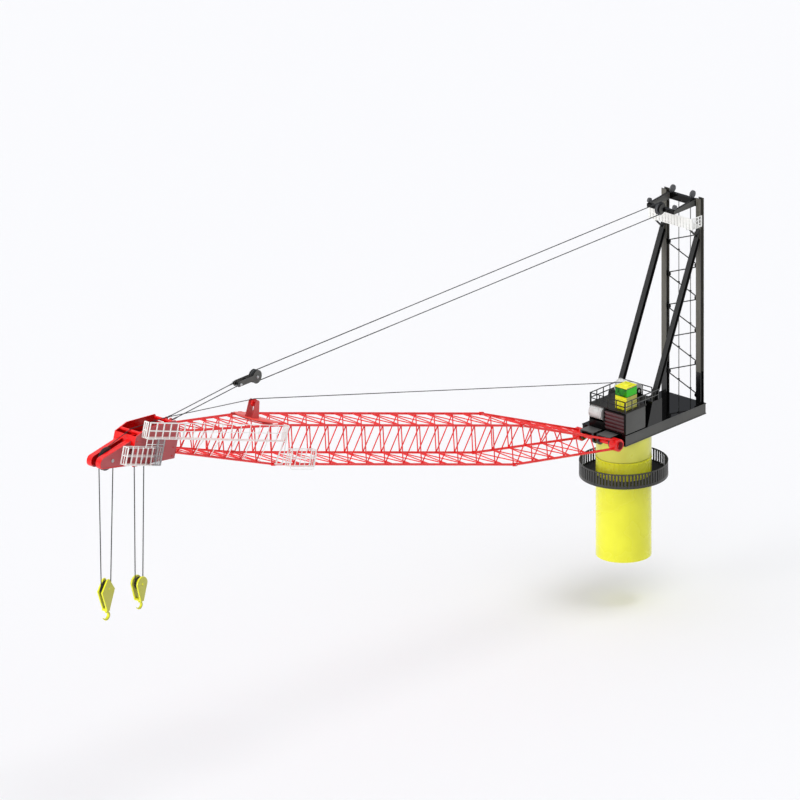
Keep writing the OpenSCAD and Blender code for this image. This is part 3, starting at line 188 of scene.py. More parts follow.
finishes = {
    "pedestalYellow": dict(
        colour="#f3f32c", shade="#eceb26", dust=0.12, dustColour="#cfce4a", rough=0.22, coat=0.25, peel=0.02),
    # paler than the column, and darker still as painted shade under the deck
    "turretYellow": dict(
        colour="#e8e85c", shade="#e0df4e", dust=0.12, dustColour="#cfca62", rough=0.25, coat=0.2, peel=0.02),
    "bearingYellow": dict(
        colour="#bdb92f", shade="#a9a52a", dust=0.3, dustColour="#86823a", rough=0.4, coat=0.1),
    "blackEnamel": dict(
        colour="#050505", shade="#090909", dust=0.15, dustColour="#1c1b1a", rough=0.18, coat=0.0,
        specular=0.15),
    # a dead black for a strip that is painted shadow
    "shadowLineBlack": dict(
        colour="#020202", shade="#040404", dust=0.1, dustColour="#0c0c0b", rough=0.85, coat=0.0,
        specular=0.05),
    # black, with the faces along Y painted grey: painted reflection of the pale studio
    "railBlack": dict(
        colour="#060606", shade="#0b0b0b", dust=0.15, dustColour="#201f1e", rough=0.25, coat=0.05,
        faceAxis="Y", paintedFaceLightShade="#5f5f5d", faceRough=0.4, specular=0.3),
    "walkwayBlack": dict(
        colour="#070707", shade="#0d0d0c", dust=0.2, dustColour="#2c2b29", rough=0.3, coat=0.05,
        specular=0.3),
    "picketGrey": dict(
        colour="#33322f", shade="#262523", dust=0.3, dustColour="#504e49", rough=0.35, coat=0.1),
    # glossy black, with the faces along Y painted grey: painted reflection of the pale studio
    "deckBlackPaintedReflection": dict(
        colour="#050505", shade="#080808", dust=0.1, dustColour="#141414", rough=0.05, roughSpread=0.04,
        coat=0.0, faceAxis="Y", paintedFaceLightShade="#5f5f5c", faceRough=0.5, peel=0.01, specular=0.2),
    # black, with the upward faces painted grey: painted light on the tops
    "footBlack": dict(
        colour="#080808", shade="#0c0c0c", dust=0.15, dustColour="#252422", rough=0.2, coat=0.2,
        faceAxis="Z", paintedFaceLightShade="#626260", faceRough=0.5),
    # black, with the faces along Y painted dark grey: painted reflection of the pale studio
    "bracketGrey": dict(
        colour="#080808", shade="#0c0c0c", dust=0.15, dustColour="#252422", rough=0.2, coat=0.05,
        faceAxis="Y", paintedFaceLightShade="#2f2f2e", faceRough=0.5, specular=0.3),
    # the faces along X are painted grey above the feet, painted light; the black sides are painted shade of
    # the legs' open sections
    "mastPaintedLightShade": dict(
        colour="#0b0b0b", shade="#101010", dust=0.2, dustColour="#2b2a28", rough=0.25, coat=0.2,
        faceAxis="X", paintedFaceLightShade="#605d53", faceRough=0.5, faceFrom=1.733),
    "strutGrey": dict(
        colour="#121211", shade="#0d0d0d", dust=0.25, dustColour="#34322e", rough=0.35, coat=0.05),
    "bracingBlack": dict(
        colour="#0e0e0d", shade="#141413", dust=0.2, dustColour="#2b2a27", rough=0.35, coat=0.1),
    "roofGrey": dict(
        colour="#1f1d1b", shade="#191715", dust=0.3, dustColour="#38342f", rough=0.4, coat=0.0, specular=0.3),
    # bright yellow, with the faces along Y painted khaki: painted shade on the sides turned from the light
    "cabYellow": dict(
        colour="#fcfa1c", shade="#f5f218", dust=0.08, dustColour="#d6d24c", rough=0.25, coat=0.2,
        faceAxis="Y", paintedFaceLightShade="#c6c35a", faceRough=0.4),
    "railWhite": dict(
        colour="#fafaf6", shade="#f1f0ec", dust=0.15, dustColour="#d3d1ca", rough=0.35, coat=0.1),
    "boomRed": dict(
        colour="#f51512", shade="#ea100e", dust=0.1, dustColour="#cf4640", rough=0.3, coat=0.15),
    # a darker copy of the boom red, painted shade, with the faces along Y painted pink, painted sheen
    "towerRed": dict(
        colour="#b80606", shade="#a80505", dust=0.1, dustColour="#c04a46", rough=0.3, coat=0.1,
        faceAxis="Y", paintedFaceLightShade="#d2504e", faceRough=0.45),
    # a paler copy of the boom red: painted light on a sheet that faces up
    "sheetRedPaintedLight": dict(
        colour="#ff5c50", shade="#fa5046", dust=0.1, dustColour="#e07a70", rough=0.4, coat=0.1),
    # outward faces along Y painted pink, painted sheen; inward faces along Y a darker red, painted shade
    "headRed": dict(
        colour="#fb0807", shade="#f00606", dust=0.08, dustColour="#c04a46", rough=0.25, coat=0.15,
        faceAxis="Y", paintedFaceLightShade="#b5484c", faceRough=0.5, paintedInnerShade="#ae0304"),
    # bright yellow, with the faces along Y painted olive: painted shade on the sides turned from the light
    "blockYellow": dict(
        colour="#fdfd20", shade="#f4f31c", dust=0.1, dustColour="#c8c44a", rough=0.28, coat=0.2,
        faceAxis="Y", paintedFaceLightShade="#c2c14c", faceRough=0.5),
    # mauve louvre slats: painted reflection of the red boom in the black house front
    "louvreMauvePaintedReflection": dict(
        colour="#6a5355", shade="#5c484a", dust=0.2, dustColour="#7a6866", rough=0.35, coat=0.15),
    # dark maroon: painted shade of a recess in the boom foot's hub
    "keeperMaroonPaintedShade": dict(
        colour="#6e0a10", shade="#5e080d", dust=0.08, dustColour="#7a2624", rough=0.5, coat=0.0,
        specular=0.15),
    # maroon behind the louvres: painted reflection of the red boom
    "backingMaroonPaintedReflection": dict(
        colour="#5a0c16", shade="#4c0a12", dust=0.1, dustColour="#6b2a2c", rough=0.35, coat=0.15),
}
paint = {name: enamel(name, finish) for name, finish in finishes.items()}

cast = {"blotch": 0.015, "metal": 0.6, "sand": 0.15, "sandDepth": 0.002}


def castIron(name, colour, dark, rough):
    # cast and machined sheaves and pins: grey metal, blotched where the paint has worn, with a sandy skin
    mat, shader, coords = startMaterial(name)
    grain = addNode(mat, "TexNoise", i0=coords.outputs["Object"], Scale=1 / cast["blotch"], Detail=4.0)
    tone = addNode(mat, "MixRGB", Fac=grain.outputs[0], Color1=linear(colour), Color2=linear(dark))
    sand = addNode(mat, "Bump", Strength=cast["sand"], Distance=cast["sandDepth"], Height=grain.outputs[0])
    setShader(
        mat, shader, Base_Color=tone.outputs[0], Metallic=cast["metal"], Roughness=rough,
        Normal=sand.outputs[0])
    return mat


zinc = {"patch": 0.02, "metal": 0.4, "rough": 0.55}


def galvanised(name, colour, dark):
    # zinc-coated wire: dull grey metal with patches of grease
    mat, shader, coords = startMaterial(name)
    grease = addNode(mat, "TexNoise", i0=coords.outputs["Object"], Scale=1 / zinc["patch"], Detail=3.0)
    tone = addNode(mat, "MixRGB", Fac=grease.outputs[0], Color1=linear(colour), Color2=linear(dark))
    setShader(mat, shader, Base_Color=tone.outputs[0], Metallic=zinc["metal"], Roughness=zinc["rough"])
    return mat


glazing = {"sweep": 0.07, "deepen": 1.25, "rough": 0.05, "ior": 1.52, "clear": 0.1, "specular": 0.25}


def tintedGlass(name, colour, deep):
    # laminated cab glass with a strong green tint: smooth, faintly clear, deeper towards the front
    mat, shader, coords = startMaterial(name)
    split = addNode(mat, "SeparateXYZ", Vector=coords.outputs["Normal"])
    front = addNode(mat, "Math", {"operation": "ABSOLUTE"}, i0=split.outputs["X"])
    sweep = addNode(mat, "TexNoise", i0=coords.outputs["Object"], Scale=1 / glazing["sweep"], Detail=1.0)
    deeper = addNode(mat, "Math", {"operation": "MULTIPLY"}, i0=front.outputs[0], i1=glazing["deepen"])
    depth = addNode(
        mat, "Math", {"operation": "MULTIPLY", "use_clamp": True}, i0=deeper.outputs[0], i1=sweep.outputs[0])
    tone = addNode(mat, "MixRGB", Fac=depth.outputs[0], Color1=linear(colour), Color2=linear(deep))
    setShader(
        mat, shader, Base_Color=tone.outputs[0], Roughness=glazing["rough"], IOR=glazing["ior"],
        Transmission_Weight=glazing["clear"], Specular_IOR_Level=glazing["specular"])
    return mat


# a wave of this scale gives rings 16 mm apart, drawn coarser than a lathe's so that they show
turned = {"ringScale": 20.0, "waver": 0.4, "bump": 0.12, "bumpDepth": 0.002, "metal": 0.25, "rough": 0.35}


def turnedSteel(name, colour, dark):
    # turned drum shell: bright steel with lathe rings across its axis
    mat, shader, coords = startMaterial(name)
    ring = addNode(
        mat, "TexWave", {"bands_direction": "Y"}, i0=coords.outputs["Object"], Scale=turned["ringScale"],
        Distortion=turned["waver"])
    tone = addNode(mat, "MixRGB", Fac=ring.outputs[0], Color1=linear(colour), Color2=linear(dark))
    bump = addNode(
        mat, "Bump", Strength=turned["bump"], Distance=turned["bumpDepth"], Height=ring.outputs[0])
    setShader(
        mat, shader, Base_Color=tone.outputs[0], Metallic=turned["metal"], Roughness=turned["rough"],
        Normal=bump.outputs[0])
    return mat


sheaveIron = castIron("sheaveIron", "#6f7072", "#3a3b3c", 0.45)
darkIron = castIron("darkIron", "#4b4c3a", "#2a2a20", 0.5)
pinSteel = castIron("pinSteel", "#c9cacb", "#9b9c9d", 0.3)
wireRope = galvanised("wireRope", "#3e4042", "#2c2e30")
paleWire = galvanised("paleWire", "#9d9e9c", "#868785")
drumWire = galvanised("drumWire", "#f0f0ee", "#dededb")
meshWire = galvanised("meshWire", "#a3a7aa", "#85898c")
greenGlass = tintedGlass("greenGlass", "#2fcc0c", "#055005")
drumSteel = turnedSteel("drumSteel", "#e2e2df", "#c4c4c1")

nodeFinish = {
    paint["pedestalYellow"]: ["pedestal_column"],
    paint["turretYellow"]: ["slew_turret"],
    paint["bearingYellow"]: ["slew_bearing"],
    paint["walkwayBlack"]: ["ring_walkway_floor"],
    paint["picketGrey"]: ["ring_walkway_railing"],
    paint["railBlack"]: ["roof_railing"],
    paint["blackEnamel"]: ["front_winch_frame", "roof_winch_stand"],
    paint["footBlack"]: ["boom_foot_brackets"],
    paint["deckBlackPaintedReflection"]: ["revolving_deck", "machinery_house", "mast_head_frame", "bridle_block"],
    paint["bracketGrey"]: ["strut_brackets"],
    paint["roofGrey"]: ["roof_deck"],
    paint["mastPaintedLightShade"]: ["mast_legs"],
    paint["bracingBlack"]: ["mast_bracing"],
    paint["strutGrey"]: ["mast_struts"],
    paint["cabYellow"]: ["cab_body", "cab_roof"],
    greenGlass: ["cab_glazing"],
    drumSteel: ["front_winch_drum", "roof_winch_drum"],
    paint["railWhite"]: [
        "mast_platform", "mast_platform_railing", "gangway_floor", "gangway_railing", "head_basket",
        "landing_basket",
    ],
    paint["boomRed"]: [
        "boom_foot_sides", "boom_foot_lacing", "boom_mid_sides", "boom_mid_lacing", "boom_tip_sides",
        "boom_tip_lacing", "tower_sheave",
    ],
    paint["towerRed"]: ["rope_tower"],
    paint["headRed"]: ["boom_head", "boom_foot_pins"],
    sheaveIron: ["mast_head_sheaves", "boom_head_sheaves", "bridle_sheave"],
    darkIron: ["main_block_sheave", "aux_block_sheave"],
    paint["blockYellow"]: ["main_block", "main_hook", "aux_block", "aux_hook"],
    wireRope: [
        "mast_ropes", "boom_rope", "luff_ropes", "pendants", "hoist_rope", "main_fall_ropes",
        "aux_fall_ropes",
    ],
}
for mat, names in nodeFinish.items():
    for name in names:
        nodes[name].data.materials.clear()
        nodes[name].data.materials.append(mat)
print("finishes set on the CAD nodes")


# small tools for the added pieces
shaping = {"seamReach": 0.00002, "smooth": math.radians(35), "ropeSmooth": math.radians(50)}
nutShares = {"inset": 0.4, "stud": 0.5, "edge": 0.08}  # of its radius, its height and its radius


def makeActive(obj):
    bpy.ops.object.select_all(action="DESELECT")
    obj.select_set(True)
    bpy.context.view_layer.objects.active = obj


def easeEdges(obj, width, segments=2):
    makeActive(obj)
    bevel = obj.modifiers.new("easedEdges", "BEVEL")
    bevel.width, bevel.segments, bevel.limit_method = width, segments, "ANGLE"
    bpy.ops.object.modifier_apply(modifier=bevel.name)


def closeSeams(obj):
    makeActive(obj)
    bpy.ops.object.mode_set(mode="EDIT")
    bpy.ops.mesh.select_all(action="SELECT")
    bpy.ops.mesh.remove_doubles(threshold=shaping["seamReach"])
    bpy.ops.mesh.normals_make_consistent(inside=False)
    bpy.ops.object.mode_set(mode="OBJECT")


def addBlock(low, high, edge):
    low, high = Vector(low), Vector(high)
    bpy.ops.object.select_all(action="DESELECT")
    bpy.ops.mesh.primitive_cube_add(size=1, location=(low + high) / 2, scale=high - low)
    made = bpy.context.object
    bpy.ops.object.transform_apply(location=True, rotation=True, scale=True)
    easeEdges(made, edge)
    return made


def addNut(radius, height):
    # a hexagon nut standing on the origin, with the stud's end drawn out of its top face
    bpy.ops.object.select_all(action="DESELECT")
    bpy.ops.mesh.primitive_cylinder_add(vertices=6, radius=radius, depth=height, location=(0, 0, height / 2))
    nut = bpy.context.object
    bpy.ops.object.transform_apply(location=True, rotation=True, scale=True)
    bpy.ops.object.mode_set(mode="EDIT")
    bpy.ops.mesh.select_mode(type="FACE")
    bpy.ops.mesh.select_all(action="DESELECT")
    bpy.ops.object.mode_set(mode="OBJECT")
    for face in nut.data.polygons:
        face.select = face.normal.z > 0.9
    bpy.ops.object.mode_set(mode="EDIT")
    bpy.ops.mesh.inset(thickness=radius * nutShares["inset"])
    bpy.ops.mesh.extrude_region_move(TRANSFORM_OT_translate={"value": (0, 0, height * nutShares["stud"])})
    bpy.ops.object.mode_set(mode="OBJECT")
    easeEdges(nut, radius * nutShares["edge"], 1)
    return nut


def cutPlate(outline, thickness, edge, place):
    # a plate cut to an outline in its own XY plane, edges eased, then set in place
    curve = bpy.data.curves.new("plate", "CURVE")
    curve.dimensions = "2D"
    curve.fill_mode = "BOTH"
    curve.extrude, curve.bevel_depth, curve.bevel_resolution = thickness / 2 - edge, edge, 1
    curve.offset = -edge
    spline = curve.splines.new("POLY")
    spline.points.add(len(outline) - 1)
    for point, (x, y) in zip(spline.points, outline):
        point.co = (x, y, 0, 1)
    spline.use_cyclic_u = True
    plate = bpy.data.objects.new("plate", curve)
    bpy.context.scene.collection.objects.link(plate)
    makeActive(plate)
    bpy.ops.object.convert(target="MESH")
    plate = bpy.context.view_layer.objects.active
    closeSeams(plate)
    plate.data.transform(place)
    return plate


def bendBars(routes, radius, corners=2, swell=None):
    # round bars along polylines, closed at both ends; swell scales the radius point by point
    curve = bpy.data.curves.new("bars", "CURVE")
    curve.dimensions = "3D"
    curve.bevel_depth, curve.bevel_resolution, curve.use_fill_caps = radius, corners, True
    for route in routes:
        spline = curve.splines.new("POLY")
        spline.points.add(len(route) - 1)
        for k, (point, place) in enumerate(zip(spline.points, route)):
            point.co = (*place, 1)
            point.radius = swell[k] if swell else 1.0
    bars = bpy.data.objects.new("bars", curve)
    bpy.context.scene.collection.objects.link(bars)
    makeActive(bars)
    bpy.ops.object.convert(target="MESH")
    bars = bpy.context.view_layer.objects.active
    closeSeams(bars)
    return bars


def copyTo(template, places):
    copies = []
    for place in places:
        copy = template.copy()
        copy.data = template.data.copy()
        copy.data.transform(place)
        bpy.context.scene.collection.objects.link(copy)
        copies.append(copy)
    bpy.data.objects.remove(template)
    return copies


def finishPiece(parts, name, mat, body):
    bpy.ops.object.select_all(action="DESELECT")
    for part in parts:
        part.select_set(True)
    bpy.context.view_layer.objects.active = parts[0]
    if len(parts) > 1:
        bpy.ops.object.join()
    piece = bpy.context.view_layer.objects.active
    piece.name = piece.data.name = name
    piece.data.materials.clear()
    piece.data.materials.append(mat)
    makeActive(piece)
    bpy.ops.object.shade_smooth_by_angle(angle=shaping["smooth"])
    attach(piece, body)
    return piece


def uprightAt(y):
    # takes a plate's own XY plane to the crane's XZ plane, at a distance along Y
    return Matrix(((1, 0, 0, 0), (0, 0, -1, y), (0, 1, 0, 0), (0, 0, 0, 1)))


def acrossAt(x):
    # takes a plate's own XY plane to the crane's YZ plane, at a distance along X
    return Matrix(((0, 0, 1, x), (1, 0, 0, 0), (0, 1, 0, 0), (0, 0, 0, 1)))


def facing(place, axis):
    # stands a piece made along +Z at a place, pointing along an axis
    return Matrix.Translation(place) @ Vector(axis).to_track_quat("Z", "Y").to_matrix().to_4x4()


# ropes: six strands laid round a core, as one twisted tube each
def alongRoute(points, step):
    # points at even steps along a polyline
    lengths = [(b - a).length for a, b in zip(points, points[1:])]
    total = sum(lengths)
    count = max(2, round(total / step))
    out, i, passed = [], 0, 0.0
    for k in range(count + 1):
        target = total * k / count
        while i < len(lengths) - 1 and passed + lengths[i] < target:
            passed += lengths[i]
            i += 1
        share = (target - passed) / lengths[i]
        out.append(points[i].lerp(points[i + 1], min(1.0, max(0.0, share))))
    return out, total / count


def turnRoundSheave(centre, radius, start, turn, steps=24):
    # points of an arc in the XZ plane, angles above +X
    return [
        Vector((
            centre[0] + radius * math.cos(start + turn * k / steps),
            centre[1],
            centre[2] + radius * math.sin(start + turn * k / steps),
        ))
        for k in range(steps + 1)
    ]


ropeMake = {"strands": 6, "layInDiameters": 7.0, "stepInDiameters": 0.7, "valley": 0.74}


def layRope(name, routes, diameter, mat=wireRope):
    strands = ropeMake["strands"]
    profile = bpy.data.curves.new(name + "Profile", "CURVE")
    ring = profile.splines.new("POLY")
    ring.points.add(2 * strands - 1)
    for k, point in enumerate(ring.points):
        r = diameter / 2 * (1.0 if k % 2 == 0 else ropeMake["valley"])
        a = math.pi * k / strands
        point.co = (r * math.cos(a), r * math.sin(a), 0, 1)
    ring.use_cyclic_u = True
    profileObject = bpy.data.objects.new(name + "Profile", profile)
    bpy.context.scene.collection.objects.link(profileObject)
    curve = bpy.data.curves.new(name, "CURVE")
    curve.dimensions = "3D"
    curve.bevel_mode = "OBJECT"
    curve.bevel_object = profileObject
    curve.use_fill_caps = True
    for route in routes:
        points, step = alongRoute(route, diameter * ropeMake["stepInDiameters"])
        spline = curve.splines.new("POLY")
        spline.points.add(len(points) - 1)
        for k, (point, place) in enumerate(zip(spline.points, points)):
            point.co = (*place, 1)
            point.tilt = 2 * math.pi * k * step / (diameter * ropeMake["layInDiameters"])
    rope = bpy.data.objects.new(name, curve)
    bpy.context.scene.collection.objects.link(rope)
    makeActive(rope)
    bpy.ops.object.convert(target="MESH")
    bpy.ops.object.shade_smooth_by_angle(angle=shaping["ropeSmooth"])
    bpy.data.objects.remove(profileObject)
    rope.data.materials.clear()
    rope.data.materials.append(mat)
    return rope


# luffing rope: two runs between the mast and the bridle, with half a turn round each sheave
luffing = {
    "mast": (-0.565, 3.5203), "bridle": (5.710, 3.5203), "radius": 0.0633, "diameter": 0.010, "keep": 0.6215,
}
mastX, mastZ = luffing["mast"]
bridleX, bridleZ = luffing["bridle"]
r = luffing["radius"]
luffRuns = layRope(
    "luffRopeRuns",
    [[Vector((mastX, 0, mastZ + k * r)), Vector((bridleX, 0, bridleZ + k * r))] for k in (1, -1)],
    luffing["diameter"],
)
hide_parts("luff_ropes")
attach(luffRuns, "luff_rope_run")
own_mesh(luffRuns)
mastTurn = layRope(
    "luffRopeMastTurn", [turnRoundSheave((mastX, 0, mastZ), r, math.pi / 2, math.pi)], luffing["diameter"])
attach(mastTurn, "luff_rope_run")
bridleTurn = layRope(
    "luffRopeBridleTurn", [turnRoundSheave((bridleX, 0, bridleZ), r, -math.pi / 2, math.pi)],
    luffing["diameter"])
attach(bridleTurn, "bridle")

# hoist rope: from the roof drum to the rope tower, then along the boom over the tower sheave and two guide
# tubes to the nose; each wheel is s, n and the radius at which the rope lies
hoisting = {
    "diameter": 0.009, "fallDiameter": 0.0115, "keep": 0.8946, "arcSteps": 8,
    "wheels": [
        (5.6504, 0.3709, 0.0388), (7.042, 0.190, 0.0228), (7.550, 0.076, 0.0228), (7.870, -0.210, 0.1098),
    ],
}
lo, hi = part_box("hoist_rope")
half = hoisting["diameter"] / 2
start, end = Vector((lo.x, 0, lo.z + half)), Vector((hi.x, 0, hi.z - half))
hoistRope = layRope("hoistRope", [[start, end]], hoisting["diameter"])
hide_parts("hoist_rope")
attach(hoistRope, "hoist_rope_run")
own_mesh(hoistRope)

wheels, arcSteps = hoisting["wheels"], hoisting["arcSteps"]
slopes = [math.atan2(end.z - start.z, end.x - start.x) - boom["angle"]]
for (s0, n0, r0), (s1, n1, r1) in zip(wheels, wheels[1:]):
    slopes.append(math.atan2(n1 - n0, s1 - s0) + math.asin((r1 - r0) / math.hypot(s1 - s0, n1 - n0)))
slopes.append(slopes[-1])
route = []
for (s, n, r), before, after in zip(wheels, slopes, slopes[1:]):
    points = 1 if before == after else arcSteps + 1
    for k in range(points):
        a = math.pi / 2 + before + (after - before) * k / arcSteps
        route.append(boomPoint(s + r * math.cos(a), 0, n + r * math.sin(a)))
headRope = layRope("boomHeadRope", [route], hoisting["diameter"])
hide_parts("boom_rope")
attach(headRope, "boom")

falls = {
    "main": dict(
        top=(8.020013, 0.0, 3.297701), drop=1.38, topRadius=0.1098, blockRadius=0.0728,
        node="main_fall_ropes", upper="main_falls", lower="main_hook_block"),
    "aux": dict(
        top=(7.634647, 0.107, 3.22673), drop=1.34, topRadius=0.0748, blockRadius=0.0588,
        node="aux_fall_ropes", upper="aux_falls", lower="aux_hook_block"),
}
for name, fall in falls.items():
    top = Vector(fall["top"])
    low = top - Vector((0, 0, fall["drop"]))
    lean = math.asin((fall["topRadius"] - fall["blockRadius"]) / fall["drop"])
    runs = []
    for side in (-1, 1):
        out = Vector((side * math.cos(lean), 0, -math.sin(lean)))
        runs.append([top + out * fall["topRadius"], low + out * fall["blockRadius"]])
    rope = layRope(name + "FallRopes", runs, hoisting["fallDiameter"])
    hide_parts(fall["node"])
    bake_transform(rope)
    overTop = turnRoundSheave(tuple(top), fall["topRadius"], -lean, math.pi + 2 * lean)
    over = layRope(name + "FallTopTurn", [overTop], hoisting["diameter"])
    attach(over, fall["upper"])
    underBlock = turnRoundSheave(tuple(low), fall["blockRadius"], math.pi + lean, math.pi - 2 * lean)
    under = layRope(name + "FallBlockTurn", [underBlock], hoisting["diameter"])
    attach(under, fall["lower"])

# pendants from the bridle's tail to the lugs on the boom head, with poured sockets at both ends
pendant = {
    "tail": 0.275, "lug": (7.0523, 3.4436), "y": 0.0393, "diameter": 0.010, "stop": 0.03,
    "socket": 0.009, "socketSteps": (-0.012, 0.012, 0.03, 0.07), "socketShares": (0.8, 1.0, 1.0, 0.62),
}
tail = Vector((bridleX + pendant["tail"], 0, bridleZ))
lug = Vector((pendant["lug"][0], 0, pendant["lug"][1]))
along = (lug - tail).normalized()
runs, sockets = [], []
for side in (-1, 1):
    shift = Vector((0, side * pendant["y"], 0))
    a, b = tail + shift, lug + shift - along * pendant["stop"]
    runs.append([a, b])
    for root, way in ((a, along), (b, -along)):
        sockets.append([root + way * step for step in pendant["socketSteps"]])
pendantRopes = layRope("pendantRopes", runs, pendant["diameter"])
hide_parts("pendants")
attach(pendantRopes, "bridle")
poured = bendBars(sockets, pendant["socket"], corners=3, swell=pendant["socketShares"])
finishPiece([poured], "pendantSockets", sheaveIron, "bridle")

mastRope = {"x": -0.927, "ys": (-0.060, 0.092), "foot": 1.4036, "top": 3.492, "diameter": 0.010}
mastRopes = layRope(
    "mastRopes",
    [[Vector((mastRope["x"], y, mastRope[level])) for level in ("foot", "top")] for y in mastRope["ys"]],
    mastRope["diameter"], paleWire,
)
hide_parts("mast_ropes")
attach(mastRopes, "superstructure")

windings = {
    "front": dict(x=0.270, z=1.5653, shell=0.064, y0=-0.166, y1=-0.020, rope=0.0062, body="front_winch"),
    "roof": dict(x=-0.100, z=1.7323, shell=0.060, y0=-0.138, y1=0.098, rope=0.0090, body="roof_winch"),
}
stepsPerTurn = 36
for name, coil in windings.items():
    turns = int((coil["y1"] - coil["y0"]) / coil["rope"])
    radius = coil["shell"] + coil["rope"] / 2
    route = [
        Vector((
            coil["x"] + radius * math.cos(2 * math.pi * k / stepsPerTurn),
            coil["y0"] + coil["rope"] * k / stepsPerTurn,
            coil["z"] + radius * math.sin(2 * math.pi * k / stepsPerTurn),
        ))
        for k in range(turns * stepsPerTurn + 1)
    ]
    wound = layRope(name + "DrumWinding", [route], coil["rope"], drumWire)
    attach(wound, coil["body"])
print("ropes laid")

# pedestal: cover screws round the top of the column and gussets under the walkway
pedestal = {
    "radius": 0.2797, "screws": 36, "screwZ": 1.036, "screwRadius": 0.007, "screwHeight": 0.005,
    "gussets": 12, "gussetRoot": 0.2805, "gussetReach": 0.42, "gussetDepth": 0.054, "gussetLip": 0.010,
    "gussetThick": 0.008, "gussetEdge": 0.0015,
}
screws = copyTo(
    addNut(pedestal["screwRadius"], pedestal["screwHeight"]),
    [
        Matrix.Rotation(2 * math.pi * k / pedestal["screws"], 4, "Z")
        @ facing((pedestal["radius"], 0, pedestal["screwZ"]), (1, 0, 0))
        for k in range(pedestal["screws"])
    ],
)
finishPiece(screws, "columnCoverScrews", paint["pedestalYellow"], "pedestal")
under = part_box("ring_walkway_floor")[0].z
root, reach = pedestal["gussetRoot"], pedestal["gussetReach"]
gusset = [
    (root, under), (reach, under), (reach, under - pedestal["gussetLip"]),
    (root, under - pedestal["gussetDepth"]),
]
gussets = copyTo(
    cutPlate(gusset, pedestal["gussetThick"], pedestal["gussetEdge"], uprightAt(0)),
    [
        Matrix.Rotation(2 * math.pi * (k + 0.5) / pedestal["gussets"], 4, "Z")
        for k in range(pedestal["gussets"])
    ],
)
finishPiece(gussets, "walkwayGussets", paint["walkwayBlack"], "pedestal")
print("pedestal fittings made")

# machinery house: louvres in its front, coloured as painted reflection of the red boom, and a side plate with
# a rounded corner over a black strip that is painted shadow under its lower and rear edges;
# a pair named Out is how far the piece's two faces stand off the wall
house = {
    "front": 0.307, "near": 0.285, "rear": 0.0, "deckTop": 1.4033, "roof": 1.6423,
    "louvreY": (0.022, 0.272), "louvreZ": (1.428, 1.622),
    "slats": 5, "tilt": math.radians(24), "slatHalf": 0.0135, "slatHalfThick": 0.0015, "slatAt": 0.0075,
    "slatEdge": 0.0006,
    "backingOut": (0.0002, 0.0016), "backingEdge": 0.0004,
    "rimOut": (0.0004, 0.012), "rimWide": 0.008, "rimEdge": 0.001,
    "skin": 0.003, "skinOff": 0.0006, "skinMargin": 0.002, "skinRear": 0.004, "skinEdge": 0.0008,
    "corner": 0.026, "cornerSteps": 6,
    "joint": 0.014, "shadowLineOut": (0.0002, 0.0012), "shadowLineFoot": 0.0003, "shadowLineRear": 0.0002,
    "shadowLineEdge": 0.0003,
}
y0, y1 = house["louvreY"]
z0, z1 = house["louvreZ"]
front, near = house["front"], house["near"]
slatHalf, thin = house["slatHalf"], house["slatHalfThick"]
slat = addBlock((-thin, y0, -slatHalf), (thin, y1, slatHalf), house["slatEdge"])
pitch = (z1 - z0) / house["slats"]
slats = copyTo(
    slat,
    [
        Matrix.Translation((front + house["slatAt"], 0, z0 + pitch * (k + 0.5)))
        @ Matrix.Rotation(house["tilt"], 4, "Y")
        for k in range(house["slats"])
    ],
)
finishPiece(slats, "houseLouvres", paint["louvreMauvePaintedReflection"], "superstructure")
inner, outer = (front + off for off in house["backingOut"])
backing = addBlock((inner, y0, z0), (outer, y1, z1), house["backingEdge"])
finishPiece([backing], "louvreBacking", paint["backingMaroonPaintedReflection"], "superstructure")
inner, outer = (front + off for off in house["rimOut"])
wide, edge = house["rimWide"], house["rimEdge"]
rim = [
    addBlock((inner, y0 - wide, z0 - wide), (outer, y1 + wide, z0), edge),
    addBlock((inner, y0 - wide, z1), (outer, y1 + wide, z1 + wide), edge),
    addBlock((inner, y0 - wide, z0), (outer, y0, z1), edge),
    addBlock((inner, y1, z0), (outer, y1 + wide, z1), edge),
]
finishPiece(rim, "louvreFrame", paint["blackEnamel"], "superstructure")
skinLow, skinRear, r = house["deckTop"] + house["joint"], house["skinRear"], house["corner"]
skinFront, skinTop = front - house["skinMargin"], house["roof"] - house["skinMargin"]
skin = [(skinFront, skinLow), (skinFront, skinTop), (skinRear, skinTop)]
for k in range(house["cornerSteps"] + 1):
    a = math.pi / 2 * k / house["cornerSteps"]
    skin.append((skinRear + r - r * math.cos(a), skinLow + r - r * math.sin(a)))
sidePlate = cutPlate(
    skin, house["skin"], house["skinEdge"], uprightAt(near + house["skin"] / 2 + house["skinOff"]))
finishPiece([sidePlate], "houseSidePlate", paint["deckBlackPaintedReflection"], "superstructure")
# a black strip along the side plate's foot and rear edge: painted shadow line
inner, outer = (near + off for off in house["shadowLineOut"])
edge = house["shadowLineEdge"]
joint = [
    addBlock((house["rear"], inner, house["deckTop"] + house["shadowLineFoot"]), (front, outer, skinLow), edge),
    addBlock((house["rear"] + house["shadowLineRear"], inner, skinLow), (skinRear, outer, house["roof"]), edge),
]
finishPiece(joint, "houseShadowLine", paint["shadowLineBlack"], "superstructure")

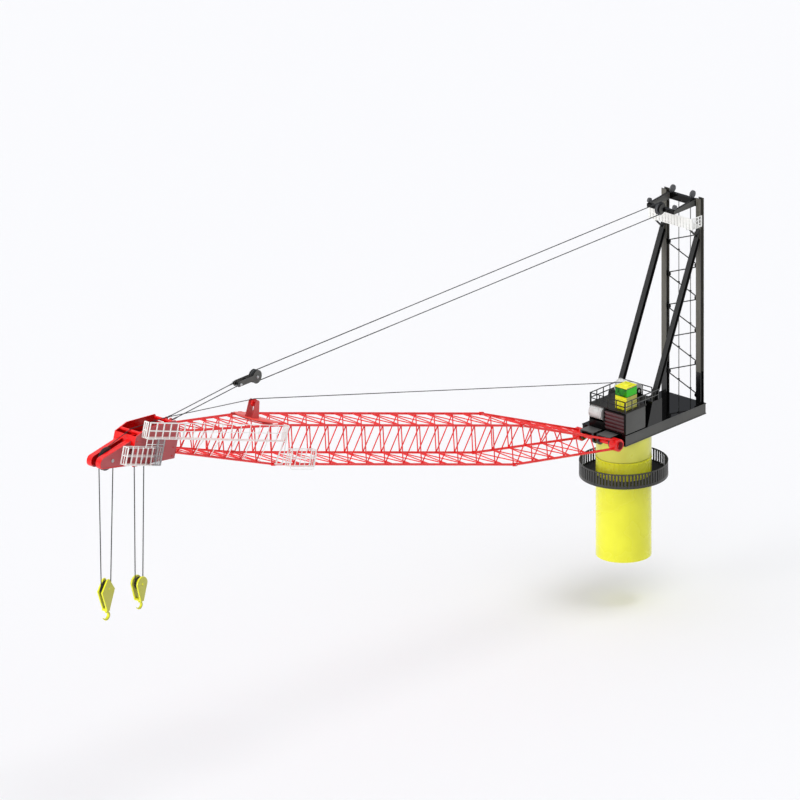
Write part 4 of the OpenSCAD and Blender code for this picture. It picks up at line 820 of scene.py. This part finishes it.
# cab: rubber seals round the glass, a raised roof hatch, a wiper and a grab rail;
# the wiper's points are y and the height above the sill, the grab rail's are x off the rear wall and height
cab = {
    "x": (0.093, 0.253), "y": (0.105, 0.253), "sill": 1.7883, "head": 1.8783, "roof": 1.8903,
    "seal": 0.0022, "sealIn": 0.0025,
    "hatchIn": 0.03, "hatchFrontIn": 0.05, "hatchRise": 0.006, "hatchEdge": 0.002,
    "wiper": 0.0014, "wiperOut": 0.003,
    "wiperBars": [[(0.18, 0.006), (0.145, 0.062)], [(0.139, 0.030), (0.152, 0.078)]],
    "grab": 0.003, "grabIn": 0.03,
    "grabRoute": [(-0.001, 1.70), (-0.012, 1.705), (-0.012, 1.765), (-0.001, 1.77)],
}
x0, x1 = cab["x"]
y0, y1 = cab["y"]
seals = []
for z in (cab["sill"] + cab["sealIn"], cab["head"] - cab["sealIn"]):
    corners = [(x0, y0), (x1, y0), (x1, y1), (x0, y1), (x0, y0)]
    seals.append([Vector((cx, cy, z)) for cx, cy in corners])
finishPiece([bendBars(seals, cab["seal"])], "cabSeals", paint["blackEnamel"], "superstructure")
hatch = addBlock(
    (x0 + cab["hatchIn"], y0 + cab["hatchIn"], cab["roof"]),
    (x1 - cab["hatchFrontIn"], y1 - cab["hatchIn"], cab["roof"] + cab["hatchRise"]), cab["hatchEdge"])
finishPiece([hatch], "cabRoofHatch", paint["cabYellow"], "superstructure")
wiper = [[Vector((x1 + cab["wiperOut"], y, cab["sill"] + up)) for y, up in bar] for bar in cab["wiperBars"]]
grab = [[Vector((x0 + off, y1 - cab["grabIn"], z)) for off, z in cab["grabRoute"]]]
finishPiece(
    [bendBars(wiper, cab["wiper"]), bendBars(grab, cab["grab"])], "cabWiperAndGrab", paint["blackEnamel"],
    "superstructure")
print("house and cab fittings made")

# mast: gussets where the bracing meets the legs, rope guides on the diagonals, a sheet across the platform
mast = {
    "x": -0.915, "legY": 0.225, "foot": 1.4713, "rise": 0.1728, "bays": 10,
    "gusset": 0.021, "gussetY": 0.181, "gussetRoot": 0.012, "tipShare": 0.6, "rootShare": 1.5,
    "gussetThick": 0.018, "gussetEdge": 0.002,
    "guideX": -0.924, "guideHalf": (0.010, 0.010, 0.009), "guideEdge": 0.003,
    "platform": 3.3133, "sheetX": -0.7295, "sheetHalf": 0.276, "sheetRise": (0.004, 0.104),
    "sheetThick": 0.002, "sheetEdge": 0.0005,
}
g, root = mast["gusset"], mast["gussetRoot"]
tip, heel = g * mast["tipShare"], g * mast["rootShare"]
shape = [(-g, -tip), (root, -heel), (root, heel), (-g, tip)]
parts = copyTo(
    cutPlate(shape, mast["gussetThick"], mast["gussetEdge"], acrossAt(0)),
    [
        Matrix.Translation((mast["x"], 0, mast["foot"] + k * mast["rise"]))
        @ Matrix.Rotation(math.pi * (k % 2), 4, "Z") @ Matrix.Translation((0, mast["gussetY"], 0))
        for k in range(mast["bays"] + 1)
    ],
)
finishPiece(parts, "mastGussets", paint["blackEnamel"], "superstructure")
guidePlaces = []
for k in range(0, mast["bays"], 2):
    for y in mastRope["ys"]:
        share = (mast["legY"] - y) / (2 * mast["legY"])
        guidePlaces.append(Matrix.Translation((mast["guideX"], y, mast["foot"] + (k + share) * mast["rise"])))
guideHalf = Vector(mast["guideHalf"])
guides = copyTo(addBlock(-guideHalf, guideHalf, mast["guideEdge"]), guidePlaces)
finishPiece(guides, "mastRopeGuides", paint["strutGrey"], "superstructure")
wide = mast["sheetHalf"]
low, high = (mast["platform"] + rise for rise in mast["sheetRise"])
sheet = cutPlate(
    [(-wide, low), (wide, low), (wide, high), (-wide, high)], mast["sheetThick"], mast["sheetEdge"],
    acrossAt(mast["sheetX"]))
finishPiece([sheet], "platformFrontSheet", paint["railWhite"], "superstructure")
print("mast fittings made")

# boom: bolted flange pairs with pins where its sections meet
sections = {
    "joints": [1.61, 5.50], "flange": 0.019, "length": 0.022, "gap": 0.003, "pin": 0.006, "pinHalf": 0.026,
}
near, far = sections["gap"], sections["gap"] + sections["length"]
collars, pins = [], []
for s in sections["joints"]:
    for side in (-1, 1):
        for level in (-1, 1):
            y, n = side * boom["halfWidth"], level * boom["halfDepth"]
            for d in (-1, 1):
                collars.append([boomPoint(s + d * near, y, n), boomPoint(s + d * far, y, n)])
            pins.append([boomPoint(s, y + d * sections["pinHalf"], n) for d in (-1, 1)])
flanges = bendBars(collars, sections["flange"], corners=4)
finishPiece([flanges], "boomJointFlanges", paint["boomRed"], "boom")
finishPiece([bendBars(pins, sections["pin"])], "boomJointPins", pinSteel, "boom")

# boom foot: a keeper plate over each pin's end, with its flat side towards the boom; its dark maroon is
# painted shade of the recess in the hub
keeper = {
    "radius": 0.040, "y": max(0.282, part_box("boom_foot_pins")[1].y), "thick": 0.003, "off": 0.0003,
    "edge": 0.0008, "from": 55, "sweep": 250, "steps": 20,
}
flatSide = []
for k in range(keeper["steps"] + 1):
    a = math.radians(keeper["from"] + keeper["sweep"] * k / keeper["steps"])
    flatSide.append((pinX + keeper["radius"] * math.cos(a), pinZ + keeper["radius"] * math.sin(a)))
keeperY = keeper["y"] + keeper["thick"] / 2 + keeper["off"]
keepers = [
    cutPlate(flatSide, keeper["thick"], keeper["edge"], uprightAt(side * keeperY)) for side in (-1, 1)
]
finishPiece(keepers, "footPinKeepers", paint["keeperMaroonPaintedShade"], "boom")

# boom head: raised flanges round the nose arms, steel caps on the pins, bolts along the cheek plates;
# places are s and n, and the arms' upper and lower edges run from their roots to the rounded tip
head = {
    "armY": 0.086, "tip": (8.0, -0.238), "tipRadius": 0.062, "tipFrom": 70, "tipSweep": 155, "tipSteps": 12,
    "inset": 0.006, "flangeOff": 0.001,
    "upperEdge": [(7.66, -0.0138), (8.013, -0.1784)], "lowerRoot": (7.66, -0.2685),
    "nose": (7.870, -0.210), "noseCapY": 0.0862, "aux": (7.480, -0.172), "auxCapY": 0.1402,
    "capRadius": 0.022, "capHeight": 0.007,
    "cheekY": 0.1401, "boltRadius": 0.008, "boltHeight": 0.005,
    "bolts": [
        (7.0, -0.145), (7.0, -0.06), (7.0, 0.04), (7.04, 0.14), (7.18, 0.17), (7.34, 0.14), (7.5, 0.10),
        (7.6, 0.0), (7.6, -0.1), (7.5, -0.215), (7.35, -0.2), (7.18, -0.178),
    ],
}
tipS, tipN = head["tip"]
inset = head["inset"]
r = head["tipRadius"] - inset
rim = [(s, n - inset) for s, n in head["upperEdge"]]
for k in range(head["tipSteps"] + 1):
    a = math.radians(head["tipFrom"] - head["tipSweep"] * k / head["tipSteps"])
    rim.append((tipS + r * math.cos(a), tipN + r * math.sin(a)))
rim.append((head["lowerRoot"][0], head["lowerRoot"][1] + inset))
flangeY = head["armY"] + head["flangeOff"]
flanges = [bendBars([[boomPoint(s, side * flangeY, n) for s, n in rim]], inset) for side in (-1, 1)]
finishPiece(flanges, "noseArmFlanges", paint["headRed"], "boom")
caps = []
for side in (-1, 1):
    for (s, n), y in ((head["nose"], head["noseCapY"]), (head["aux"], head["auxCapY"])):
        caps.append(facing(boomPoint(s, side * y, n), (0, side, 0)))
capNut = addNut(head["capRadius"], head["capHeight"])
finishPiece(copyTo(capNut, caps), "headPinCaps", pinSteel, "boom")
bolts = [
    facing(boomPoint(s, side * head["cheekY"], n), (0, side, 0)) for s, n in head["bolts"] for side in (-1, 1)
]
bolt = addNut(head["boltRadius"], head["boltHeight"])
finishPiece(copyTo(bolt, bolts), "headPlateBolts", paint["headRed"], "boom")

# a sheet on the top chords that spreads the rope tower's feet; its outline is s and y
towerSheet = {
    "outline": [(5.47, -0.25), (5.62, -0.255), (5.74, -0.10), (5.74, 0.10), (5.62, 0.255), (5.47, 0.25)],
    "thick": 0.004, "edge": 0.001, "lift": 0.0165,
}
spread = cutPlate(
    towerSheet["outline"], towerSheet["thick"], towerSheet["edge"],
    boomPlace @ Matrix.Translation((0, 0, boom["halfDepth"] + towerSheet["lift"])))
# its paler red is painted light on the sheet's upward face
finishPiece([spread], "towerFootSheet", paint["sheetRedPaintedLight"], "boom")
print("boom fittings made")

# gangway: hangers down to the lower chord and the frame at its rear end;
# a hanger starts so far inside and below the floor's edge, and ends so far outside and above the chord
gangway = {
    "s": (5.46, 7.543), "n": 0.050, "outer": (0.3388, 0.2183), "rail": 0.165,
    "hangers": 6, "hangerFirst": 0.03, "hangerSpanEnd": 6.9, "hanger": 0.004,
    "hangerTop": (0.008, 0.007), "hangerFoot": (0.013, 0.01),
    "leg": 0.005, "legIn": 0.006, "legFeet": (-0.055, 0.045), "legFootIn": 0.03, "legFootN": -0.19,
    "legToChord": 0.012,
}
s0, s1 = gangway["s"]
outer0, outer1 = gangway["outer"]
hangers = []
for k in range(gangway["hangers"]):
    s = s0 + gangway["hangerFirst"] + (gangway["hangerSpanEnd"] - s0) * k / gangway["hangers"]
    outer = outer0 + (outer1 - outer0) * (s - s0) / (s1 - s0)
    taper = min(1.0, max(0.0, (s - boom["midEnd"]) / (boom["length"] - boom["midEnd"])))
    wide = boom["halfWidth"] + (boom["tipHalfWidth"] - boom["halfWidth"]) * taper
    deep = boom["halfDepth"] + (boom["tipHalfDepth"] - boom["halfDepth"]) * taper
    (topIn, topDown), (footOut, footUp) = gangway["hangerTop"], gangway["hangerFoot"]
    hangers.append([
        boomPoint(s, outer - topIn, gangway["n"] - topDown), boomPoint(s, wide + footOut, -deep + footUp),
    ])
rear, footN = outer0 - gangway["legIn"], gangway["legFootN"]
apex = boomPoint(s0 - gangway["legIn"], rear, gangway["n"] + gangway["rail"])
feet = [boomPoint(s0 + d, rear - gangway["legFootIn"], footN) for d in gangway["legFeet"]]
legs = [[apex, foot] for foot in feet] + [feet]
for foot, d in zip(feet, gangway["legFeet"]):
    legs.append([foot, boomPoint(s0 + d, boom["halfWidth"] + gangway["legToChord"], footN)])
finishPiece(
    [bendBars(hangers, gangway["hanger"]), bendBars(legs, gangway["leg"])], "gangwayHangers",
    paint["railWhite"], "boom")

# a wire panel by the head basket
panel = {"s": (7.252, 7.384), "n": (-0.226, 0.040), "y": 0.2195, "columns": 10, "rows": 19, "wire": 0.0016}
wires = []
for k in range(panel["columns"]):
    s = panel["s"][0] + (panel["s"][1] - panel["s"][0]) * k / (panel["columns"] - 1)
    wires.append([boomPoint(s, panel["y"], n) for n in panel["n"]])
for k in range(panel["rows"]):
    n = panel["n"][0] + (panel["n"][1] - panel["n"][0]) * k / (panel["rows"] - 1)
    wires.append([boomPoint(s, panel["y"], n) for s in panel["s"]])
finishPiece([bendBars(wires, panel["wire"], corners=1)], "basketWirePanel", meshWire, "boom")

# landing basket: a bent tube that rounds its lower corners
landing = {
    "s": (4.94, 5.33), "n": -0.232, "y": 0.346, "corner": 0.035, "cornerSteps": 6, "tube": 0.0045,
    "rise": 0.17, "endIn": 0.002,
}
sA, sB = landing["s"]
c, base = landing["corner"], landing["n"]
quarter = [math.pi / 2 * k / landing["cornerSteps"] for k in range(landing["cornerSteps"] + 1)]
path = [(sA + landing["endIn"], base + landing["rise"])]
path += [(sA + c - c * math.cos(a), base + c - c * math.sin(a)) for a in quarter]
path += [(sB - c + c * math.sin(a), base + c - c * math.cos(a)) for a in quarter]
path += [(sB - landing["endIn"], base + landing["rise"])]
hoop = bendBars([[boomPoint(s, landing["y"], n) for s, n in path]], landing["tube"])
finishPiece([hoop], "landingHoop", paint["railWhite"], "boom")
print("gangway and basket fittings made")

# bridle: nuts on the sheave pin and the tail pin
bridleNut = {"radius": 0.016, "height": 0.010, "sheaveY": 0.0302, "tailY": 0.0485}
nuts = []
for x, y in ((bridleX, bridleNut["sheaveY"]), (tail.x, bridleNut["tailY"])):
    nuts += [facing((x, side * y, bridleZ), (0, side, 0)) for side in (-1, 1)]
nut = addNut(bridleNut["radius"], bridleNut["height"])
finishPiece(copyTo(nut, nuts), "bridleNuts", pinSteel, "bridle")

# hook blocks: cheeks with broad eased edges, pin nuts and open forged hooks
auxRadius, auxSteps = 0.079, 24
auxTop = [math.pi * k / auxSteps for k in range(auxSteps + 1)]
blocks = {
    "main": dict(
        inner=0.016, plate=0.022, down=0.24, cross=0.026, hookRadius=0.040, neck=0.014, shank=0.013,
        outline=[(-0.1, -0.022), (-0.016, -0.24), (0.016, -0.24), (0.1, -0.022), (0.016, 0.1), (-0.016, 0.1)],
        block="main_hook_block", hook="main_hook_body", nodes=("main_block", "main_hook")),
    "aux": dict(
        inner=0.026, plate=0.024, down=0.185, cross=0.022, hookRadius=0.036, neck=0.012, shank=0.011,
        outline=[(auxRadius * math.cos(a), auxRadius * math.sin(a)) for a in auxTop]
        + [(-0.022, -0.185), (0.022, -0.185)],
        block="aux_hook_block", hook="aux_hook_body", nodes=("aux_block", "aux_hook")),
}
fitted = {
    "cheekEdge": 0.008, "crossIn": 0.004, "crossEdge": 0.003, "nutRadius": 0.013, "nutHeight": 0.006,
    "nutSunk": 0.001,
}
# a hook's thickness in shares of its shank: from the neck it swells in the bowl and thins to the point
forging = {
    "shankUp": 0.012, "shankSteps": 4, "steps": 34, "from": 90, "sweep": 258,
    "lipFrom": 0.75, "lipOut": 0.010,
    "neckShare": 0.95, "bowlShare": 0.40, "bowlRate": 1.15, "pointShare": 0.72, "pointFrom": 0.62,
}
for name, made in blocks.items():
    px, py, topZ = falls[name]["top"]
    pz = topZ - falls[name]["drop"]  # the block's pin hangs under the falls
    mid, face = made["inner"] + made["plate"] / 2, made["inner"] + made["plate"]
    outline = [(px + ox, pz + oz) for ox, oz in made["outline"]]
    cheeks = [
        cutPlate(outline, made["plate"], fitted["cheekEdge"], uprightAt(py + side * mid)) for side in (-1, 1)
    ]
    out, c, drop = face - fitted["crossIn"], made["cross"], made["down"]
    cheeks.append(
        addBlock((px - c, py - out, pz - drop), (px + c, py + out, pz - drop + c), fitted["crossEdge"]))
    body = finishPiece(cheeks, name + "BlockBody", paint["blockYellow"], made["block"])
    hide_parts(made["nodes"][0])
    nutY = face - fitted["nutSunk"]
    nuts = copyTo(
        addNut(fitted["nutRadius"], fitted["nutHeight"]),
        [facing((px, py + side * nutY, pz), (0, side, 0)) for side in (-1, 1)])
    finishPiece(nuts, name + "BlockNuts", paint["blockYellow"], made["block"])
    r, neck = made["hookRadius"], made["neck"]
    bowl = Vector((px, py, pz - drop - neck - r))
    shankTop, shankSteps = c + forging["shankUp"], forging["shankSteps"]
    path = [
        Vector((px, py, pz - drop + shankTop - (shankTop + neck) * k / shankSteps))
        for k in range(shankSteps + 1)
    ]
    swell = [1.0] * len(path)
    for k in range(1, forging["steps"] + 1):
        share = k / forging["steps"]
        a = math.radians(forging["from"] + forging["sweep"] * share)  # down the back and up to the point
        lip = max(0.0, (share - forging["lipFrom"]) / (1 - forging["lipFrom"]))
        wide = r + forging["lipOut"] * lip**2
        path.append(bowl + Vector((wide * math.cos(a), 0, wide * math.sin(a))))
        belly = forging["bowlShare"] * math.sin(math.pi * min(1.0, share * forging["bowlRate"]))
        thinner = max(0.0, (share - forging["pointFrom"]) / (1 - forging["pointFrom"]))
        swell.append(forging["neckShare"] + belly - forging["pointShare"] * thinner)
    forged = bendBars([path], made["shank"], corners=6, swell=swell)
    hook = finishPiece([forged], name + "ForgedHook", paint["blockYellow"], made["hook"])
    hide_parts(made["nodes"][1])
print("hook blocks made")

# camera, floor and light
shot = {
    "azimuth": 130.2, "elevation": 20.5, "right": -2.236, "up": 1.532, "width": 8.0, "distance": 22.0,
    "farthest": 200.0,
}
a, e = math.radians(shot["azimuth"]), math.radians(shot["elevation"])
back = Vector((math.sin(a) * math.cos(e), -math.cos(a) * math.cos(e), math.sin(e)))
turn = (-back).to_track_quat("-Z", "Y")
right, up = turn @ Vector((1, 0, 0)), turn @ Vector((0, 1, 0))
cameraData = bpy.data.cameras.new("photoCamera")
cameraData.type = "ORTHO"
cameraData.ortho_scale = shot["width"]
cameraData.clip_end = shot["farthest"]
camera = bpy.data.objects.new("photoCamera", cameraData)
camera.location = right * shot["right"] + up * shot["up"] + back * shot["distance"]
camera.rotation_mode = "QUATERNION"
camera.rotation_quaternion = turn
bpy.context.scene.collection.objects.link(camera)
bpy.context.scene.camera = camera

studio = {
    "floorPlace": (3, 0, -0.5), "floorSize": 240.0, "floorColour": "#f4f4f5", "floorRough": 0.9,
    "domeColour": "#fbfbfd", "domeStrength": 0.92, "ceilingBand": (0.42, 0.62), "wallColour": "#9a9da3",
    "horizon": -0.02,
}
bpy.ops.object.select_all(action="DESELECT")
bpy.ops.mesh.primitive_plane_add(size=studio["floorSize"], location=studio["floorPlace"])
floor = bpy.context.object
floor.name = "studioFloor"
floorPaint, floorShader = startMaterial("paleFloor")[:2]
setShader(floorPaint, floorShader, Base_Color=linear(studio["floorColour"]), Roughness=studio["floorRough"])
floor.data.materials.append(floorPaint)

# a bright ceiling over dimmer walls, so that level glossy faces mirror the walls and stay dark;
# below the horizon it is as pale as the floor
world = bpy.data.worlds.new("studioWorld")
world.use_nodes = True
sky = world.node_tree.nodes["Background"]
lookUp = addNode(world, "SeparateXYZ", Vector=addNode(world, "TexCoord").outputs["Generated"])
low, high = studio["ceilingBand"]
ceiling = addNode(world, "MapRange", Value=lookUp.outputs["Z"], From_Min=low, From_Max=high, To_Max=1.0)
below = addNode(world, "Math", {"operation": "LESS_THAN"}, i0=lookUp.outputs["Z"], i1=studio["horizon"])
pale = addNode(world, "Math", {"operation": "MAXIMUM"}, i0=ceiling.outputs[0], i1=below.outputs[0])
glow = addNode(
    world, "MixRGB", Fac=pale.outputs[0], Color1=linear(studio["wallColour"]),
    Color2=linear(studio["domeColour"]))
world.node_tree.links.new(glow.outputs[0], sky.inputs["Color"])
sky.inputs["Strength"].default_value = studio["domeStrength"]
bpy.context.scene.world = world
bpy.context.scene.view_settings.view_transform = "Standard"

lamps = {
    "overheadPanel": dict(aim=(0.076, -0.217, -1.0), power=0.85, spread=math.radians(26)),
    "windowWall": dict(aim=(-0.974, 0.224, -0.16), power=1.57, spread=math.radians(34)),
}
for name, lamp in lamps.items():
    light = bpy.data.lights.new(name, "SUN")
    light.energy, light.angle = lamp["power"], lamp["spread"]
    lampObject = bpy.data.objects.new(name, light)
    lampObject.rotation_euler = Vector(lamp["aim"]).to_track_quat("-Z", "Y").to_euler()
    bpy.context.scene.collection.objects.link(lampObject)
print("camera, floor and light set")
